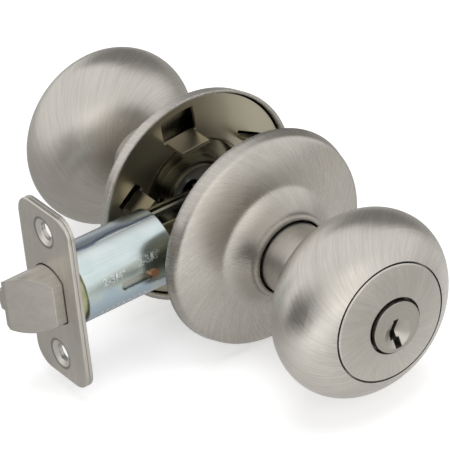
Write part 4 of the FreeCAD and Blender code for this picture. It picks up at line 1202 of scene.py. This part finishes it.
@dataclass(frozen=True)
class InsideHalf(SubAssembly):
    """Knob, rose, plate and screws on the room side."""

    finishes: dict[str, Metal] = field(default_factory=lambda: {
        "knob_inside_shell": Finishes.shell_inside,
        "knob_inside_shank": Finishes.shank,
        "knob_inside_face": Finishes.face,
        "button_bush": Finishes.shank,
        "turn_button": Finishes.plug,
        "locking_bar": Finishes.zinc_flat,
        "spindle_driver": Finishes.cast,
        "rose_inside": Finishes.rose_inside,
        "mounting_plate_inside": Finishes.bronze,
        "spring_cup_inside": Finishes.shaded_bronze,
        "return_spring_inside": Finishes.spring,
        "retaining_ring_inside": Finishes.shaded_bronze,
        "mounting_screws": Finishes.screw,
    })

    def build(self) -> None:
        """Dress the inside half and thread its screws."""
        super().build()
        low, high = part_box("mounting_screws")
        head = high.y - ScrewThread.head_height
        places = {"mounting_screw_left": low.x + ScrewThread.head_radius,
                  "mounting_screw_right": high.x - ScrewThread.head_radius}
        for name, x in places.items():
            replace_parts(ScrewThread(name, x, low.y, head).build(), "mounting_screws")


@dataclass(frozen=True)
class Latch(SubAssembly):
    """Tube, case, bolt and linkage of the latch."""

    finishes: dict[str, Metal] = field(default_factory=lambda: {
        "latch_faceplate": Finishes.faceplate,
        "latch_backplate": Finishes.plate,
        "latch_sleeve": Finishes.yellow,
        "latch_tube": Finishes.zinc,
        "backset_rivets": Finishes.copper,
        "case_plate_outside": Finishes.shaded_bronze,
        "case_plate_inside": Finishes.shaded_bronze,
        "spring_seat": Finishes.zinc_flat,
        "case_web": Finishes.zinc_flat,
        "retractor": Finishes.cast,
        "latch_bolt": Finishes.bolt,
        "drawbar": Finishes.zinc_flat,
        "bolt_spring": Finishes.spring,
        "deadlatch_plunger": Finishes.bolt,
        "plunger_spring": Finishes.spring,
    })
    springs: tuple[Coil, ...] = (
        Coil("bolt_spring", "outside_set", "drawbar_slide", 12.95 * MM, 0.35 * MM),
        Coil("plunger_spring", "bolt", "plunger_slide", 8.5 * MM, 0.18 * MM),
    )
    marks: tuple[TubeMark, ...] = (
        TubeMark("backset_mark_long", '2-3/4"', 5.4 * MM, 20.0),
        TubeMark("backset_mark_short", '2-3/8"', 17.8 * MM, 25.0),
    )

    def build(self) -> None:
        """Dress the latch, wind its springs and mark its tube."""
        super().build()
        for piece in (*self.springs, *self.marks, Knurl()):
            piece.build()


# --- studio


@dataclass(frozen=True)
class Bearing:
    """A direction seen from the knobset; azimuth 0 is towards -Y and 90 towards +X, in degrees."""

    azimuth: float
    elevation: float

    def back(self) -> Vector:
        """The direction itself.

        Returns:
            A unit vector that points away from the knobset.
        """
        around, up = math.radians(self.azimuth), math.radians(self.elevation)
        flat = math.cos(up)
        return Vector((math.sin(around) * flat, -math.cos(around) * flat, math.sin(up)))

    def axes(self, roll: float = 0.0) -> tuple[Vector, Vector, Vector]:
        """Axes of something that faces the knobset from this direction.

        Args:
            roll: its turn about the line of sight, in degrees.

        Returns:
            Its right, its up and its back.
        """
        around, turn = math.radians(self.azimuth), math.radians(roll)
        back = self.back()
        right = Vector((math.cos(around), math.sin(around), 0.0))
        up = back.cross(right)
        cos, sin = math.cos(turn), math.sin(turn)
        return right * cos + up * sin, up * cos - right * sin, back


def facing(bearing: Bearing, distance: float, roll: float = 0.0) -> Matrix:
    """Place something so that its -Z looks at the knobset.

    Args:
        bearing: where it stands.
        distance: how far away it is.
        roll: its turn about the line of sight, in degrees.

    Returns:
        Its matrix.
    """
    right, up, back = bearing.axes(roll)
    turned = Matrix((right, up, back)).transposed().to_4x4()
    return Matrix.Translation(back * distance) @ turned


def seen(graph: Graph) -> Socket:
    """Rays that show the surroundings themselves: direct, mirrored and through glass.

    Args:
        graph: the graph to add to.

    Returns:
        1 for those rays, 0 for others.
    """
    path = graph.node("ShaderNodeLightPath")
    both = graph.math("MAXIMUM", path.outputs["Is Camera Ray"], path.outputs["Is Glossy Ray"])
    return graph.math("MAXIMUM", both, path.outputs["Is Transmission Ray"])


@dataclass(frozen=True)
class Card:
    """A soft-edged studio card or light panel that shows only in the metal.

    Fade is the share of each half over which it fades out, and shift moves it off its bearing.
    """

    name: str
    bearing: Bearing
    width: float
    height: float
    tone: float
    fade: float = 0.5
    distance: float = 1.6
    shift: tuple[float, float, float] = (0.0, 0.0, 0.0)
    warmth: Colour = (1.0, 0.985, 0.96)

    def material(self) -> bpy.types.Material:
        """A glow that fades out towards the card's edges.

        Returns:
            The material.
        """
        made = bpy.data.materials.new(self.name)
        made.use_nodes = True
        made.cycles.emission_sampling = "NONE"
        graph = Surface(made.node_tree)
        cover: Input = 1.0
        for part, half in ((graph.x, self.width / 2.0), (graph.y, self.height / 2.0)):
            away = graph.math("ABSOLUTE", part)
            edge = graph.span(away, half * (1.0 - self.fade), half, 1.0, 0.0)
            cover = graph.math("MULTIPLY", cover, edge)
        glow = graph.node("ShaderNodeEmission")
        graph.put(glow.inputs["Color"], self.warmth)
        glow.inputs["Strength"].default_value = self.tone
        mix = graph.node("ShaderNodeMixShader")
        graph.put(mix.inputs[0], cover)
        graph.put(mix.inputs[1], graph.node("ShaderNodeBsdfTransparent").outputs[0])
        graph.put(mix.inputs[2], glow.outputs[0])
        graph.finish("ShaderNodeOutputMaterial", mix.outputs[0])
        return made

    def build(self) -> None:
        """Hang the card."""
        made = sheet(self.name, self.width, self.height, self.material())
        made.matrix_world = Matrix.Translation(self.shift) @ facing(self.bearing, self.distance)
        made.visible_camera = False
        made.visible_diffuse = False
        made.visible_transmission = False
        made.visible_shadow = False


@dataclass(frozen=True)
class Softbox:
    """A large soft lamp."""

    name: str
    bearing: Bearing
    size: float
    power: float
    distance: float = 1.3

    def build(self) -> None:
        """Hang the lamp."""
        data = bpy.data.lights.new(self.name, "AREA")
        data.shape = "DISK"
        data.size = self.size
        data.energy = self.power
        made = add(self.name, data)
        made.matrix_world = facing(self.bearing, self.distance)
        made.visible_camera = False
        made.visible_glossy = False


# The floor lies just under the knobs, and its cards half way between the two.
FLOOR_GAP = 0.25 * MM
FLOOR_LEVEL = START_BOUNDS[0][2] - FLOOR_GAP
TABLE_DEPTH = FLOOR_GAP / 2.0 - START_BOUNDS[0][2]
DOWN = Bearing(0.0, -90.0)


@dataclass(frozen=True)
class Studio:
    """Camera, floor, soft lamps and the cards that shape the metal's tones."""

    ambient: float = 0.55
    view: Bearing = Bearing(-32.98, 32.94)
    roll: float = -6.06
    distance: float = 0.96542
    lens: float = 266.99
    shift_right: float = 0.12 * MM
    shift_up: float = -3.75 * MM
    sensor: float = 36.0
    near: float = 0.01
    far: float = 20.0
    floor_size: float = 6.0
    floor_tone: float = 0.80
    floor_glow: float = 0.45
    lamps: tuple[Softbox, ...] = (
        Softbox("softbox_overhead", Bearing(0.0, 80.0), 0.9, 7.0),
        Softbox("softbox_front", Bearing(-20.0, 30.0), 0.8, 5.0),
    )
    cards: tuple[Card, ...] = (
        Card("panel_front", Bearing(-8.0, 14.0), 1.3, 1.9, 1.5),
        Card("card_right", Bearing(122.0, 28.0), 3.0, 2.6, 0.27),
        Card("card_left", Bearing(-80.0, 4.0), 0.22, 0.19, 0.14, 0.55, 0.16, (0.0, -0.064, 0.0)),
        Card("card_floor_1", DOWN, 3.4, 2.4, 0.45, 0.12, TABLE_DEPTH, (0.0, 1.08, 0.0)),
        Card("card_floor_2", DOWN, 0.95, 1.1, 0.62, 0.25, TABLE_DEPTH, (0.36, -0.55, 0.0)),
    )

    def camera(self) -> None:
        """Set up the camera."""
        data = bpy.data.cameras.new("camera")
        data.lens = self.lens
        data.sensor_width = self.sensor
        data.clip_start = self.near
        data.clip_end = self.far
        made = add("camera", data)
        right, up, _back = self.view.axes(self.roll)
        shift = right * self.shift_right + up * self.shift_up
        made.matrix_world = Matrix.Translation(shift) @ facing(self.view, self.distance, self.roll)
        bpy.context.scene.camera = made

    def world(self) -> None:
        """Even soft light, shown as plain white."""
        made = bpy.data.worlds.new("studio")
        bpy.context.scene.world = made
        made.use_nodes = True
        graph = Graph(made.node_tree)
        light = graph.node("ShaderNodeBackground")
        graph.put(light.inputs["Color"], (1.0, 1.0, 1.0))
        graph.put(light.inputs["Strength"], graph.math("MAXIMUM", seen(graph), self.ambient))
        graph.finish("ShaderNodeOutputWorld", light.outputs[0])

    def floor(self) -> None:
        """A plain pale floor that keeps the object's shadow."""
        paper = bpy.data.materials.new("pale_paper")
        paper.use_nodes = True
        graph = Graph(paper.node_tree)
        matt = graph.node("ShaderNodeBsdfDiffuse")
        graph.put(matt.inputs["Color"], (self.floor_tone,) * 3)
        glow = graph.node("ShaderNodeEmission")
        graph.put(glow.inputs["Color"], (1.0, 1.0, 1.0))
        graph.put(glow.inputs["Strength"], graph.math("MULTIPLY", seen(graph), self.floor_glow))
        both = graph.node("ShaderNodeAddShader")
        graph.put(both.inputs[0], matt.outputs[0])
        graph.put(both.inputs[1], glow.outputs[0])
        graph.finish("ShaderNodeOutputMaterial", both.outputs[0])
        made = sheet("floor", self.floor_size, self.floor_size, paper)
        made.location.z = FLOOR_LEVEL

    def build(self) -> None:
        """Set up everything that isn't the object."""
        self.camera()
        self.world()
        self.floor()
        for item in (*self.lamps, *self.cards):
            item.build()
        bpy.context.scene.view_settings.view_transform = "Standard"


def main() -> None:
    """Build the knobset's looks and its studio, in order."""
    logging.basicConfig(level=logging.INFO, format="%(name)s: %(message)s")
    for part in (OutsideHalf(), KeyCylinder(), InsideHalf(), Latch()):
        LOG.info("sub-assembly %s", type(part).__name__)
        part.build()
    Studio().build()


if __name__ == "__main__":
    main()
